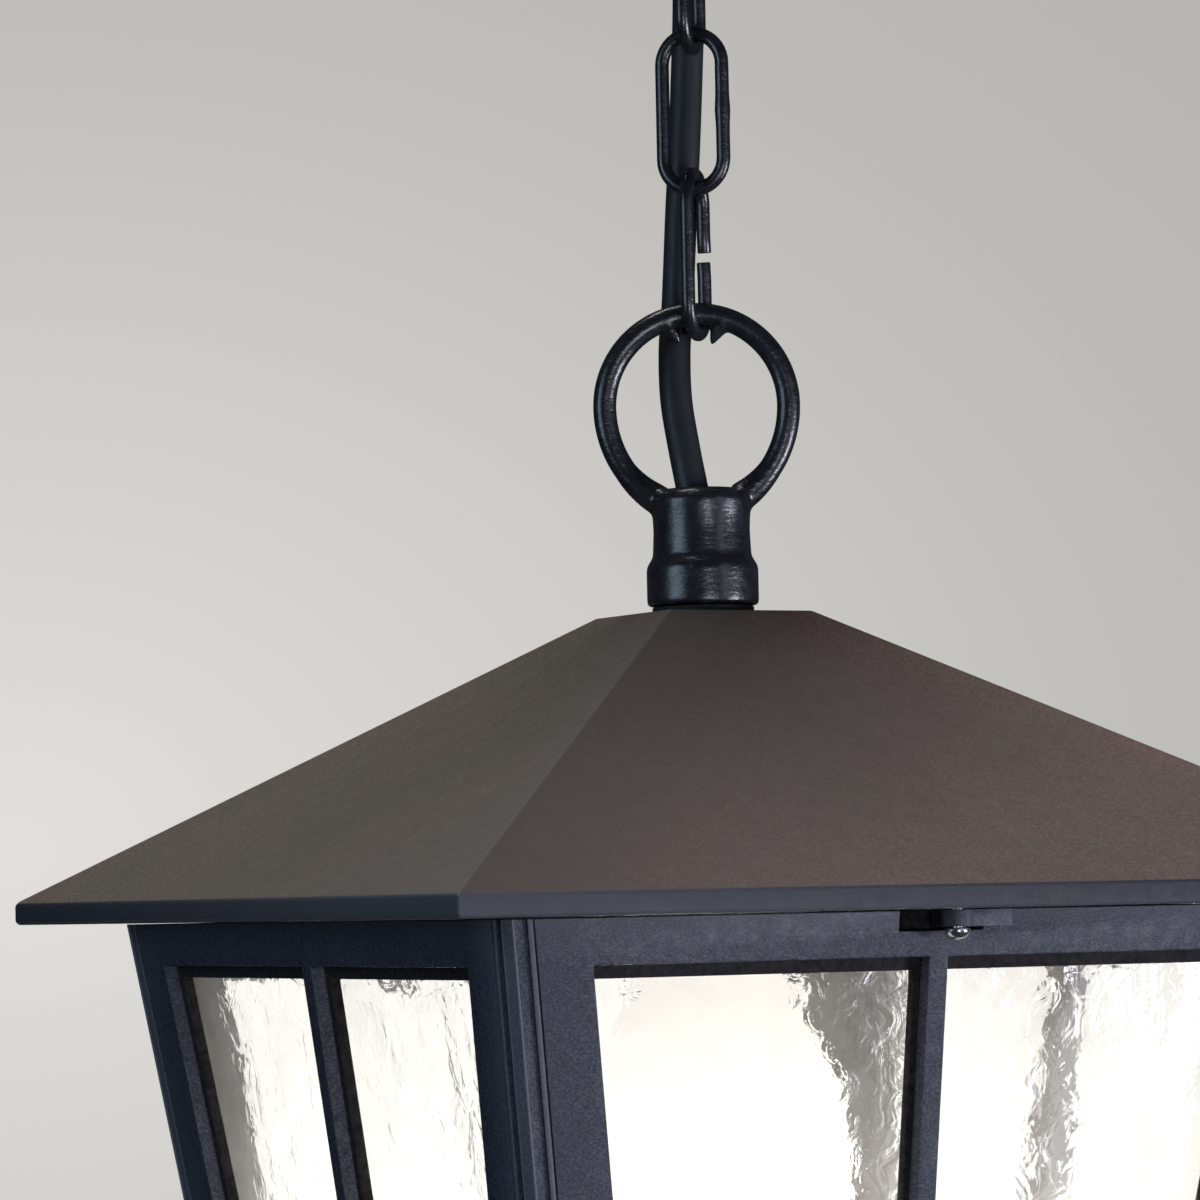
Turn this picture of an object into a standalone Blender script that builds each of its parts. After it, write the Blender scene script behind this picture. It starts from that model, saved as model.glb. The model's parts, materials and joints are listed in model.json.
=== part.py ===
"""Hanging lantern: a square tapered glazed cage under a pyramid roof, on a ring and chain under a ceiling cover.

Units are metres, +Z is up. The origin is the centre of the strap's ceiling face. The lantern's axis is the
Z axis, its front (the side with the catch) faces -Y, and its hinge is at the back.
"""
import math

import bmesh
import bpy
from mathutils import Matrix, Vector

MM = 0.001
GAP = 0.3 * MM                       # clearance kept between touching pieces

# Lantern body
EAVES_HALF = 115 * MM                # half the width across the eaves
ROOF_RISE = 59.1 * MM                # eaves edge up to the flat top
ROOF_FLAT_HALF = 17.2 * MM
ROOF_SKIN = 2.5 * MM
FASCIA = 4.8 * MM
SOFFIT_HALF = 86 * MM                # half the width of the roof's lower opening
CAGE_HALF = 96.4 * MM                # half the cage's width just under the fascia
CAGE_HEIGHT = 190 * MM
TAPER = 0.147                        # how much each side comes in for each unit of height
STILE = 18 * MM                      # width of a corner post's flange
FRAME_DEPTH = 6 * MM
TOP_RAIL = 11.9 * MM
BOTTOM_RAIL = 14 * MM
MULLION = 4.5 * MM
MULLION_DEPTH = 5.5 * MM
PANE = 3 * MM
POST_CHAMFER = 1.5 * MM
BASE_FLANGE_HALF = 74.5 * MM
BASE_FLANGE = 4.8 * MM
BASE_STEP_HALF = 60 * MM
BASE_DEPTH = 11 * MM

# Ring, collar and chain
RING_RADIUS = 19.6 * MM              # to the middle of the wire
RING_WIRE = 2.55 * MM                # wire radius
RING_RISE = 45.4 * MM                # roof top up to the ring's centre
COLLAR_LOW_RADIUS = 12.05 * MM
COLLAR_TOP_RADIUS = 10.85 * MM
COLLAR_LOW_TOP = 10.3 * MM           # heights above the roof's flat top
COLLAR_TOP = 25.6 * MM
SHANK_RADIUS = 6 * MM
SHANK_DROP = 21 * MM                 # how far the threaded shank reaches below the flat top
BORE_RADIUS = 4.1 * MM
LINK_WIRE = 1.5 * MM                 # wire radius
LINK_HALF_WIDTH = 6.7 * MM           # to the middle of the wire
LINK_SPAN = 34 * MM                  # between the middles of the end wires
CONNECTOR_SPAN = 34.8 * MM
CONNECTOR_GAP = 2.1 * MM
HOOK_WIRE = 2 * MM
HOOK_RADIUS = 8 * MM
CANOPY_RADIUS = 50 * MM
CANOPY_HEIGHT = 28 * MM
CANOPY_SKIN = 1.6 * MM
FLEX_RADIUS = 3.5 * MM
FLEX_ENTRY = 15 * MM                 # how far behind the axis the flex enters the cover
GROMMET_NECK = 5 * MM

# Headings of the hanging parts about the Z axis
RING_HEADING = math.radians(-27.3)
LINK_HEADING = math.radians(-43.8)
CROSS_HEADING = LINK_HEADING + math.radians(90)

# Heights from the ceiling down
HOOK_CENTRE_Z = -CANOPY_HEIGHT - 3.2 * MM - HOOK_RADIUS
HOOK_PIVOT_Z = HOOK_CENTRE_Z - HOOK_RADIUS
# A lower link's top wire sits this far above the upper link's bottom wire.
LINK_LAP = 2 * LINK_WIRE + GAP
LINK_1_TOP_Z = HOOK_PIVOT_Z + HOOK_WIRE + LINK_WIRE + GAP
LINK_1_PIVOT_Z = LINK_1_TOP_Z - LINK_SPAN
LINK_2_PIVOT_Z = LINK_1_PIVOT_Z + LINK_LAP - LINK_SPAN
LINK_3_PIVOT_Z = LINK_2_PIVOT_Z + LINK_LAP - LINK_SPAN
CONNECTOR_PIVOT_Z = LINK_3_PIVOT_Z + LINK_LAP - CONNECTOR_SPAN
RING_CENTRE_Z = CONNECTOR_PIVOT_Z + LINK_WIRE + RING_WIRE + GAP - RING_RADIUS
ROOF_TOP_Z = RING_CENTRE_Z - RING_RISE
EAVES_Z = ROOF_TOP_Z - ROOF_RISE
CAGE_TOP_Z = EAVES_Z - FASCIA
CAGE_BOTTOM_Z = CAGE_TOP_Z - CAGE_HEIGHT
LAMP_INSERT_TOP_Z = EAVES_Z + 29 * MM
HOLDER_SKIRT_TOP_Z = EAVES_Z + 21.7 * MM
HOLDER_SKIRT_BOTTOM_Z = EAVES_Z - 8.5 * MM

# Hinge at the back and catch at the front
HINGE_BARREL = 3 * MM
HINGE_PIN = 1.3 * MM
HINGE_Y = CAGE_HALF + 4.1 * MM
HINGE_Z = CAGE_TOP_Z - 3.5 * MM
KNUCKLE_HALF = 7.7 * MM
HINGE_HALF = 20 * MM
CATCH_X = 1 * MM
CATCH_Y = -CAGE_HALF - 4.1 * MM
CATCH_THICKNESS = 3.3 * MM
CATCH_TAB = 12 * MM
CATCH_TONGUE = 7.5 * MM
SLOT_LEFT = -9.4 * MM
SLOT_RIGHT = 10 * MM
SLOT_DEPTH = 4 * MM

LANTERN = bpy.data.collections.new("hanging_lantern")
CUTTERS = bpy.data.collections.new("cutters")


def clear_scene():
    """Remove what the file opens with."""
    for obj in list(bpy.data.objects):
        bpy.data.objects.remove(obj, do_unlink=True)
    bpy.context.scene.collection.children.link(LANTERN)
    bpy.context.scene.collection.children.link(CUTTERS)


def make_material(name, colour, roughness, metallic):
    """A Principled material with the finish's colour, roughness and metallic value."""
    material = bpy.data.materials.new(name)
    material.use_nodes = True
    shader = material.node_tree.nodes["Principled BSDF"]
    shader.inputs["Base Color"].default_value = (*colour, 1)
    shader.inputs["Roughness"].default_value = roughness
    shader.inputs["Metallic"].default_value = metallic
    material.diffuse_color = (*colour, 1)
    return material


FINISHES = {
    "weathered_roof": ((0.10, 0.085, 0.075), 0.75, 0.2),
    "frame_paint": ((0.07, 0.09, 0.12), 0.5, 0.3),
    "black_iron": ((0.02, 0.022, 0.026), 0.35, 0.6),
    "bright_screw": ((0.5, 0.52, 0.55), 0.25, 1.0),
    "water_glass": ((0.9, 0.93, 0.95), 0.08, 0.0),
    "lamp_glass": ((1.0, 0.96, 0.88), 0.3, 0.0),
    "brass": ((0.7, 0.55, 0.25), 0.3, 1.0),
    "black_plastic": ((0.02, 0.02, 0.02), 0.45, 0.0),
    "flex_sheath": ((0.025, 0.025, 0.03), 0.5, 0.0),
    "gasket_rubber": ((0.02, 0.02, 0.02), 0.8, 0.0),
    "white_ceramic": ((0.85, 0.85, 0.82), 0.3, 0.0),
}
MATERIALS = {}


def add_object(name, mesh, finish, smooth_angle=35):
    """Put a mesh in the lantern's collection with its own copy of a finish."""
    obj = bpy.data.objects.new(name, mesh)
    LANTERN.objects.link(obj)
    if finish not in MATERIALS:
        MATERIALS[finish] = make_material(finish, *FINISHES[finish])
    if not mesh.materials:
        mesh.materials.append(None)
    slot = obj.material_slots[0]
    slot.link = "OBJECT"
    own = MATERIALS[finish].copy()
    own.name = f"{name}_{finish}"
    slot.material = own
    mesh.shade_smooth()
    mesh.set_sharp_from_angle(angle=math.radians(smooth_angle))
    return obj


def mesh_from(bm, name):
    """Finish a bmesh with outward normals as a mesh."""
    bmesh.ops.recalc_face_normals(bm, faces=bm.faces)
    mesh = bpy.data.meshes.new(name)
    bm.to_mesh(mesh)
    bm.free()
    return mesh


def prism_mesh(name, outline, low, high, lean=(0, 0)):
    """Extrude an XY outline from z=low to z=high; the top is moved sideways by lean."""
    bm = bmesh.new()
    face = bm.faces.new([bm.verts.new((x, y, low)) for x, y in outline])
    grown = bmesh.ops.extrude_face_region(bm, geom=[face])
    lifted = [item for item in grown["geom"] if isinstance(item, bmesh.types.BMVert)]
    bmesh.ops.translate(bm, verts=lifted, vec=(lean[0], lean[1], high - low))
    return mesh_from(bm, name)


def box_mesh(name, size, centre):
    """A box of a size about a centre, made of a cube."""
    bm = bmesh.new()
    bmesh.ops.create_cube(bm, size=1)
    bmesh.ops.scale(bm, verts=bm.verts, vec=size)
    bmesh.ops.translate(bm, verts=bm.verts, vec=centre)
    return mesh_from(bm, name)


def cylinder_mesh(name, radius, depth, centre, axis="Z", segments=24):
    """A cylinder about a centre, along one world axis."""
    turn = {"Z": Matrix(), "X": Matrix.Rotation(math.radians(90), 4, "Y"),
        "Y": Matrix.Rotation(math.radians(90), 4, "X")}
    bm = bmesh.new()
    bmesh.ops.create_cone(
        bm, cap_ends=True, segments=segments, radius1=radius, radius2=radius, depth=depth,
        matrix=Matrix.Translation(centre) @ turn[axis],
    )
    return mesh_from(bm, name)


def turned_mesh(name, profile, steps=32, closed=False):
    """Turn an XZ profile about Z with a Screw modifier. It runs down its outer side from top to bottom."""
    bm = bmesh.new()
    points = [bm.verts.new((x, 0, z)) for x, z in profile]
    for start, end in zip(points, points[1:]):
        bm.edges.new((start, end))
    if closed:
        bm.edges.new((points[-1], points[0]))
    mesh = bpy.data.meshes.new(name)
    bm.to_mesh(mesh)
    bm.free()
    blank = bpy.data.objects.new(name + "_profile", mesh)
    CUTTERS.objects.link(blank)
    screw = blank.modifiers.new("Turn", "SCREW")
    screw.steps = steps
    screw.render_steps = steps
    screw.use_merge_vertices = True
    screw.merge_threshold = 0.00001
    return take_mesh(blank)


def square_mesh(name, profile, closed=False):
    """A square shape from a profile of half widths and heights, its faces square to X and Y."""
    mesh = turned_mesh(name, [(half * math.sqrt(2), z) for half, z in profile], steps=4, closed=closed)
    mesh.transform(Matrix.Rotation(math.radians(45), 4, "Z"))
    return mesh


def wire_mesh(name, points, radius, cyclic=False, sides=2):
    """A round wire through points, as a curve with a bevel, made into a mesh."""
    curve = bpy.data.curves.new(name, "CURVE")
    curve.dimensions = "3D"
    curve.bevel_depth = radius
    curve.bevel_resolution = sides
    curve.render_resolution_u = 0
    curve.use_fill_caps = True
    spline = curve.splines.new("POLY")
    spline.points.add(len(points) - 1)
    for point, place in zip(spline.points, points):
        point.co = (*place, 1)
    spline.use_cyclic_u = cyclic
    blank = bpy.data.objects.new(name + "_wire", curve)
    CUTTERS.objects.link(blank)
    mesh = take_mesh(blank)
    bm = bmesh.new()
    bm.from_mesh(mesh)
    bmesh.ops.remove_doubles(bm, verts=bm.verts, dist=0.00001)
    bmesh.ops.recalc_face_normals(bm, faces=bm.faces)
    bm.to_mesh(mesh)
    bm.free()
    return mesh


def take_mesh(blank):
    """Return an object's evaluated mesh and remove the object."""
    graph = bpy.context.evaluated_depsgraph_get()
    mesh = bpy.data.meshes.new_from_object(blank.evaluated_get(graph))
    mesh.name = blank.name
    bpy.data.objects.remove(blank, do_unlink=True)
    return mesh


def cut(obj, mesh, operation="DIFFERENCE"):
    """Cut a piece with a hidden cutter, or join the cutter's shape to it."""
    cutter = bpy.data.objects.new(f"{obj.name}_{operation.lower()}_{len(obj.modifiers)}", mesh)
    CUTTERS.objects.link(cutter)
    cutter.hide_render = True
    cutter.display_type = "WIRE"
    boolean = obj.modifiers.new("Shape", "BOOLEAN")
    boolean.operation = operation
    boolean.solver = "EXACT"
    boolean.object = cutter
    return obj


def soften(obj, width, segments=1):
    """Round a piece's sharp edges a little."""
    bevel = obj.modifiers.new("Soft edges", "BEVEL")
    bevel.width = width
    bevel.segments = segments
    bevel.limit_method = "ANGLE"
    bevel.angle_limit = math.radians(40)
    return obj


def add_pivot(name, place, parent=None):
    """An empty on a joint's axis, which the moving pieces hang from."""
    pivot = bpy.data.objects.new(name, None)
    pivot.empty_display_size = 0.01
    pivot.location = place
    LANTERN.objects.link(pivot)
    if parent is not None:
        pivot.parent = parent
        pivot.matrix_parent_inverse = Matrix.Translation(-Vector(pivot_place(parent)))
    return pivot


def pivot_place(pivot):
    """A pivot's own place in the world: each keeps its location there through its parent's inverse."""
    return pivot.location


def hang(pivot, *objects):
    """Parent pieces to a pivot and leave them where they are."""
    for obj in objects:
        obj.parent = pivot
        obj.matrix_parent_inverse = Matrix.Translation(-Vector(pivot_place(pivot)))


def half_width(z):
    """Half the cage's width at a height."""
    return CAGE_HALF + TAPER * (z - CAGE_TOP_Z)


def side_slab(name, outline, outer, inner):
    """A flat piece of the front side: an XZ outline, from one depth behind the sloping face to another."""
    bm = bmesh.new()
    face = bm.faces.new([bm.verts.new((x, outer, z)) for x, z in outline])
    grown = bmesh.ops.extrude_face_region(bm, geom=[face])
    pushed = [item for item in grown["geom"] if isinstance(item, bmesh.types.BMVert)]
    bmesh.ops.translate(bm, verts=pushed, vec=(0, inner - outer, 0))
    for vert in bm.verts:
        vert.co.y -= half_width(vert.co.z)
    return mesh_from(bm, name)


def side_band(inset, top, bottom):
    """The outline of a band across a side, between two heights, set in from the corners."""
    high = half_width(top) - inset
    low = half_width(bottom) - inset
    return [(-high, top), (high, top), (low, bottom), (-low, bottom)]


def heading_vector(heading):
    """The level direction of a heading."""
    return Vector((math.cos(heading), math.sin(heading), 0))


def flat_loop(heading, corners, round_steps):
    """Points along a stadium that hangs in a plane: half circles of the corner radius at both ends."""
    wide = heading_vector(heading)
    radius, top, bottom = corners
    points = []
    for centre, start in ((top - radius, 0), (bottom + radius, 180)):
        for step in range(round_steps + 1):
            angle = math.radians(start + 180 * step / round_steps)
            points.append(wide * (radius * math.cos(angle)) + Vector((0, 0,
                centre + radius * math.sin(angle))))
    return points


# Ceiling fitting


def make_strap():
    """The strap screwed to the ceiling, with a turned-down tab at each end for the cover's screws."""
    half_x, half_y, thick, drop = 10 * MM, 42 * MM, 3 * MM, 13 * MM
    outline = [
        (-half_y, 0), (half_y, 0), (half_y, -drop), (half_y - thick, -drop),
        (half_y - thick, -thick), (-half_y + thick, -thick), (-half_y + thick, -drop), (-half_y, -drop),
    ]
    mesh = prism_mesh("mounting_strap", outline, -half_x, half_x)
    mesh.transform(Matrix(((0, 0, 1, 0), (1, 0, 0, 0), (0, 1, 0, 0), (0, 0, 0, 1))))
    strap = add_object("mounting_strap", mesh, "bright_screw")
    cut(strap, cylinder_mesh("tab_holes", 1.8 * MM, 100 * MM, (0, 0, -7.5 * MM), "Y", 16))
    return strap


def make_canopy():
    """The ceiling cover: a hollow turned shell with a hole for the hook and one for the flex."""
    skin = CANOPY_SKIN
    outer = [
        (CANOPY_RADIUS, 0), (CANOPY_RADIUS, -9 * MM), (CANOPY_RADIUS - 3 * MM, -11 * MM),
        (CANOPY_RADIUS - 5 * MM, -15 * MM), (CANOPY_RADIUS - 12 * MM, -21 * MM),
        (CANOPY_RADIUS - 22 * MM, -25.5 * MM), (24 * MM, -CANOPY_HEIGHT), (0, -CANOPY_HEIGHT),
    ]
    inner = [(x - skin, z + skin) for x, z in reversed(outer[2:-1])]
    profile = [(0, -CANOPY_HEIGHT + skin)] + inner + [(CANOPY_RADIUS - skin, 0)] + outer
    mesh = turned_mesh("canopy_cover", profile, steps=40)
    cover = add_object("canopy_cover", mesh, "black_iron")
    cut(cover, cylinder_mesh("hook_hole", HOOK_WIRE + GAP, 8 * MM, (0, 0, -CANOPY_HEIGHT), "Z", 24))
    flex = flex_place(0, FLEX_ENTRY)
    cut(cover, cylinder_mesh("flex_hole", GROMMET_NECK, 8 * MM, (flex.x, flex.y, -CANOPY_HEIGHT), "Z", 24))
    cut(cover, cylinder_mesh("screw_holes", 2.3 * MM, 120 * MM, (0, 0, -7.5 * MM), "Y", 16))
    return cover


def make_canopy_screw(name, side):
    """A screw through the cover's rim into the strap's tab."""
    out = side * (CANOPY_RADIUS + GAP)
    head = cylinder_mesh(name, 3.6 * MM, 2 * MM, (0, out + side * MM, -7.5 * MM), "Y", 20)
    screw = add_object(name, head, "black_iron")
    length = CANOPY_RADIUS - 37 * MM
    cut(screw, cylinder_mesh("shank", 1.5 * MM, length, (0, out + side * (MM - length / 2), -7.5 * MM),
        "Y", 16), "UNION")
    return screw


def make_hook():
    """The closed hook that carries the chain: a loop with a straight threaded stem."""
    steps = 28
    wide = heading_vector(CROSS_HEADING)
    points = []
    for step in range(steps):
        angle = math.tau * step / steps
        points.append(wide * (HOOK_RADIUS * math.sin(angle)) + Vector((0, 0,
            HOOK_CENTRE_Z + HOOK_RADIUS * math.cos(angle))))
    hook = add_object("canopy_hook", wire_mesh("canopy_hook", points, HOOK_WIRE, cyclic=True), "black_iron")
    low = HOOK_CENTRE_Z + HOOK_RADIUS
    high = -4 * MM
    stem = cylinder_mesh("stem", HOOK_WIRE, high - low, (0, 0, (high + low) / 2), "Z", 16)
    return cut(hook, stem, "UNION")


def make_hook_nut():
    """The nut under the strap that the hook's stem screws into."""
    mesh = cylinder_mesh("hook_nut", 7 * MM, 9.5 * MM, (0, 0, -3 * MM - GAP - 4.75 * MM), "Z", 6)
    nut = add_object("hook_nut", mesh, "bright_screw")
    return cut(nut, cylinder_mesh("thread", HOOK_WIRE + GAP, 20 * MM, (0, 0, -8 * MM), "Z", 16))


def make_terminal_block():
    """The connector block under the strap that the flex goes up to."""
    flex = flex_place(0, FLEX_ENTRY)
    mesh = box_mesh("terminal_block", (13 * MM, 14 * MM, 10 * MM),
        (flex.x, flex.y + 2.7 * MM, -3 * MM - GAP - 5 * MM))
    block = soften(add_object("terminal_block", mesh, "white_ceramic"), 0.6 * MM)
    for side in (-1, 1):
        place = (flex.x + side * 3.4 * MM, flex.y + 6.5 * MM, -13 * MM)
        cut(block, cylinder_mesh("terminal", 1.4 * MM, 4 * MM, place, "Z", 12))
    return block


def make_grommet():
    """The grommet that the flex comes through in the cover."""
    flex = flex_place(0, FLEX_ENTRY)
    bore = FLEX_RADIUS + GAP
    low = -CANOPY_HEIGHT
    neck = GROMMET_NECK - GAP
    lip = GROMMET_NECK + 1.4 * MM
    profile = [
        (bore, low + CANOPY_SKIN + 2 * MM), (lip, low + CANOPY_SKIN + 1.6 * MM),
        (lip, low + CANOPY_SKIN + GAP),
        (neck, low + CANOPY_SKIN + GAP), (neck, low - GAP), (lip, low - GAP),
        (lip - 0.8 * MM, low - 2 * MM), (bore, low - 2.6 * MM),
    ]
    mesh = turned_mesh("cable_grommet", profile, steps=24, closed=True)
    mesh.transform(Matrix.Translation((flex.x, flex.y, 0)))
    return add_object("cable_grommet", mesh, "gasket_rubber")


# Chain


def make_link(name, heading, top):
    """A closed chain link that hangs from its top wire."""
    points = flat_loop(heading, (LINK_HALF_WIDTH, top, top - LINK_SPAN), 12)
    return add_object(name, wire_mesh(name, points, LINK_WIRE, cyclic=True), "black_iron")


def make_connector():
    """The open link at the chain's lower end: bent shut, with a small gap half way up its rear leg."""
    top = CONNECTOR_PIVOT_Z + CONNECTOR_SPAN
    loop = flat_loop(CROSS_HEADING, (LINK_HALF_WIDTH, top, CONNECTOR_PIVOT_Z), 12)
    wide = heading_vector(CROSS_HEADING)
    leg = wide * LINK_HALF_WIDTH
    middle = CONNECTOR_PIVOT_Z + CONNECTOR_SPAN / 2
    out = wide * 0.5 * MM
    upper_end = leg + out + Vector((0, 0, middle + CONNECTOR_GAP / 2))
    lower_end = leg - out + Vector((0, 0, middle - CONNECTOR_GAP / 2))
    points = [upper_end] + loop + [lower_end]
    return add_object("connector_link", wire_mesh("connector_link", points, LINK_WIRE), "black_iron")


# Flex


def flex_place(left, behind):
    """A level place beside the axis, left of it and behind it when seen square to the ring."""
    wide = heading_vector(RING_HEADING)
    back = Vector((-wide.y, wide.x, 0))
    return -wide * left + back * behind


def flex_route():
    """The flex's route, from the lampholder up the shank, behind the ring and the chain, to the cover."""
    stations = [
        (0.0, 0.0, -30), (0.0, 0.0, -15), (0.0, 0.0, 0), (0.0, 0.0, 10), (0.5, 0.2, 18), (1.6, 1.1, 26),
        (3.3, 2.8, 36), (4.8, 5.0, 47), (4.9, 7.2, 58), (4.1, 8.4, 67), (3.3, 9.2, 80), (2.7, 9.8, 90),
        (1.8, 10.6, 103), (0.9, 11.9, 119), (0.2, 12.8, 134), (0.0, 13.5, 150), (0.0, 14.1, 167),
        (0.0, 14.6, 184), (0.0, 14.9, 196), (0.0, 15.0, 208), (0.0, 15.0, 217),
    ]
    route = []
    for left, behind, rise in stations:
        place = flex_place(left * MM, behind * MM)
        route.append(Vector((place.x, place.y, ROOF_TOP_Z + rise * MM)))
    route[0].z = LAMP_INSERT_TOP_Z + GAP
    route[-1].z = -13 * MM - 2 * GAP
    return route


def smooth_through(route, per_span):
    """Points on a smooth curve that passes through each point of a route."""
    points = []
    for index in range(len(route) - 1):
        before = route[max(index - 1, 0)]
        start = route[index]
        end = route[index + 1]
        after = route[min(index + 2, len(route) - 1)]
        for step in range(per_span):
            t = step / per_span
            points.append(0.5 * (
                2 * start + (end - before) * t + (2 * before - 5 * start + 4 * end - after) * t ** 2
                + (3 * start - before - 3 * end + after) * t ** 3
            ))
    points.append(route[-1])
    return points


def make_flex():
    """The flex along its whole length."""
    return add_object("flex_cable", wire_mesh("flex_cable", smooth_through(flex_route(), 2), FLEX_RADIUS),
        "flex_sheath")


# Head: ring, roof and lamp


def make_hanging_loop():
    """The ring on its stepped collar, with the threaded shank that goes through the roof, bored for the flex."""
    low = ROOF_TOP_Z + 1.8 * MM
    step = ROOF_TOP_Z + COLLAR_LOW_TOP
    top = ROOF_TOP_Z + COLLAR_TOP
    profile = [
        (6.4 * MM, top), (COLLAR_TOP_RADIUS - 0.6 * MM, top), (COLLAR_TOP_RADIUS, top - 0.8 * MM),
        (COLLAR_TOP_RADIUS - 0.5 * MM, (top + step) / 2), (COLLAR_TOP_RADIUS, step + 1.2 * MM),
        (COLLAR_LOW_RADIUS - 0.5 * MM, step + 0.3 * MM), (COLLAR_LOW_RADIUS, step - 0.4 * MM),
        (COLLAR_LOW_RADIUS, low + 0.4 * MM), (COLLAR_LOW_RADIUS - 0.4 * MM, low), (SHANK_RADIUS, low),
        (SHANK_RADIUS, ROOF_TOP_Z - SHANK_DROP), (BORE_RADIUS, ROOF_TOP_Z - SHANK_DROP),
        (BORE_RADIUS, top - 10 * MM),
    ]
    loop = add_object("hanging_loop", turned_mesh("hanging_loop", profile, steps=32, closed=True),
        "black_iron")
    points = []
    steps = 40
    wide = heading_vector(RING_HEADING)
    for index in range(steps):
        angle = math.tau * index / steps
        points.append(wide * (RING_RADIUS * math.cos(angle)) + Vector((0, 0,
            RING_CENTRE_Z + RING_RADIUS * math.sin(angle))))
    cut(loop, wire_mesh("ring", points, RING_WIRE, cyclic=True, sides=3), "UNION")
    for side in (-1, 1):
        place = wide * (side * 4.1 * MM) + Vector((0, 0, RING_CENTRE_Z + RING_RADIUS - 4.2 * MM))
        bm = bmesh.new()
        bmesh.ops.create_cone(
            bm, cap_ends=True, segments=10, radius1=0.5 * MM, radius2=1.6 * MM, depth=4.4 * MM,
            matrix=Matrix.Translation(place) @ Matrix.Rotation(RING_HEADING, 4, "Z")
            @ Matrix.Rotation(math.radians(side * 12), 4, "Y"),
        )
        cut(loop, mesh_from(bm, "nib"), "UNION")
    mouth = turned_mesh(
        "mouth", [(0, top + 8 * MM), (6.4 * MM, top + 8 * MM), (6.4 * MM, top - MM),
            (BORE_RADIUS, top - 9 * MM), (0, top - 9 * MM)],
        steps=32,
    )
    return cut(loop, mouth)


def make_loop_washer():
    """The gasket between the collar and the roof."""
    low = ROOF_TOP_Z + GAP
    profile = [(11 * MM, low + 1.2 * MM), (11 * MM, low), (SHANK_RADIUS + GAP, low),
        (SHANK_RADIUS + GAP, low + 1.2 * MM)]
    return add_object("loop_washer", turned_mesh("loop_washer", profile, steps=32, closed=True),
        "gasket_rubber")


def make_roof():
    """The hollow pyramid roof with its fascia and the level soffit that the cage closes against."""
    slope = ROOF_RISE / (EAVES_HALF - ROOF_FLAT_HALF)
    drop = ROOF_SKIN * math.sqrt(1 + slope ** 2)
    wall = EAVES_HALF - ROOF_SKIN
    soffit_top = EAVES_Z - FASCIA + ROOF_SKIN
    under_flat = ROOF_RISE - ROOF_SKIN
    profile = [
        (0, ROOF_TOP_Z), (ROOF_FLAT_HALF, ROOF_TOP_Z), (EAVES_HALF - 0.6 * MM, EAVES_Z + 0.4 * MM),
        (EAVES_HALF, EAVES_Z - 0.4 * MM), (EAVES_HALF, EAVES_Z - FASCIA + 0.5 * MM),
        (EAVES_HALF - 0.5 * MM, EAVES_Z - FASCIA), (SOFFIT_HALF, EAVES_Z - FASCIA),
        (SOFFIT_HALF, soffit_top),
        (wall, soffit_top), (wall, EAVES_Z + slope * ROOF_SKIN - drop),
        (EAVES_HALF - (under_flat + drop) / slope, EAVES_Z + under_flat), (0, EAVES_Z + under_flat),
    ]
    roof = add_object("roof_shell", square_mesh("roof_shell", profile), "weathered_roof", smooth_angle=20)
    cut(roof, cylinder_mesh("shank_hole", SHANK_RADIUS + GAP, 12 * MM, (0, 0, ROOF_TOP_Z), "Z", 32))
    for x in (-14 * MM, 14 * MM):
        cut(roof, cylinder_mesh("leaf_hole", 1.5 * MM + GAP, 8 * MM, (x, 107 * MM, EAVES_Z - FASCIA), "Z",
            12))
    return cut(roof, cylinder_mesh("catch_hole", 1.2 * MM + GAP, 8 * MM,
        (CATCH_X, CATCH_Y, EAVES_Z - FASCIA), "Z", 12))


def make_loop_nut():
    """The nut that pulls the collar down on the roof."""
    high = ROOF_TOP_Z - ROOF_SKIN - GAP
    nut = add_object("loop_nut", cylinder_mesh("loop_nut", 11 * MM, 5.5 * MM, (0, 0, high - 2.75 * MM),
        "Z", 6), "brass")
    return cut(nut, cylinder_mesh("thread", SHANK_RADIUS + GAP, 20 * MM, (0, 0, high), "Z", 32))


def make_lampholder():
    """The lampholder's cap on the shank, its terminal insert and its skirt."""
    neck_top = ROOF_TOP_Z - ROOF_SKIN - GAP - 5.5 * MM - GAP
    cap_low = HOLDER_SKIRT_TOP_Z + GAP
    neck = SHANK_RADIUS + GAP
    cap_profile = [
        (neck, neck_top), (9 * MM, neck_top), (9.4 * MM, neck_top - 6 * MM), (14 * MM, cap_low + 12 * MM),
        (18 * MM, cap_low + 8 * MM), (19.3 * MM, cap_low + 4 * MM), (19.3 * MM, cap_low),
        (17.3 * MM, cap_low),
        (17.3 * MM, cap_low + 4 * MM), (14 * MM, cap_low + 9 * MM), (neck, cap_low + 12.5 * MM),
    ]
    cap = add_object("lampholder_cap", turned_mesh("lampholder_cap", cap_profile, closed=True),
        "black_plastic")
    insert_profile = [
        (0, LAMP_INSERT_TOP_Z), (12 * MM, LAMP_INSERT_TOP_Z), (14.5 * MM, LAMP_INSERT_TOP_Z - 3 * MM),
        (14.5 * MM, LAMP_INSERT_TOP_Z - 15 * MM), (0, LAMP_INSERT_TOP_Z - 15 * MM),
    ]
    insert = add_object("lampholder_insert", turned_mesh("lampholder_insert", insert_profile),
        "white_ceramic")
    high, low = HOLDER_SKIRT_TOP_Z, HOLDER_SKIRT_BOTTOM_Z
    skirt_profile = [
        (19.3 * MM, high), (19.3 * MM, low + 8 * MM), (20.3 * MM, low + 6 * MM), (20.3 * MM, low),
        (16.5 * MM, low),
        (16.5 * MM, high),
    ]
    skirt = add_object("lampholder_skirt", turned_mesh("lampholder_skirt", skirt_profile, closed=True),
        "black_plastic")
    return cap, insert, skirt


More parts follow.
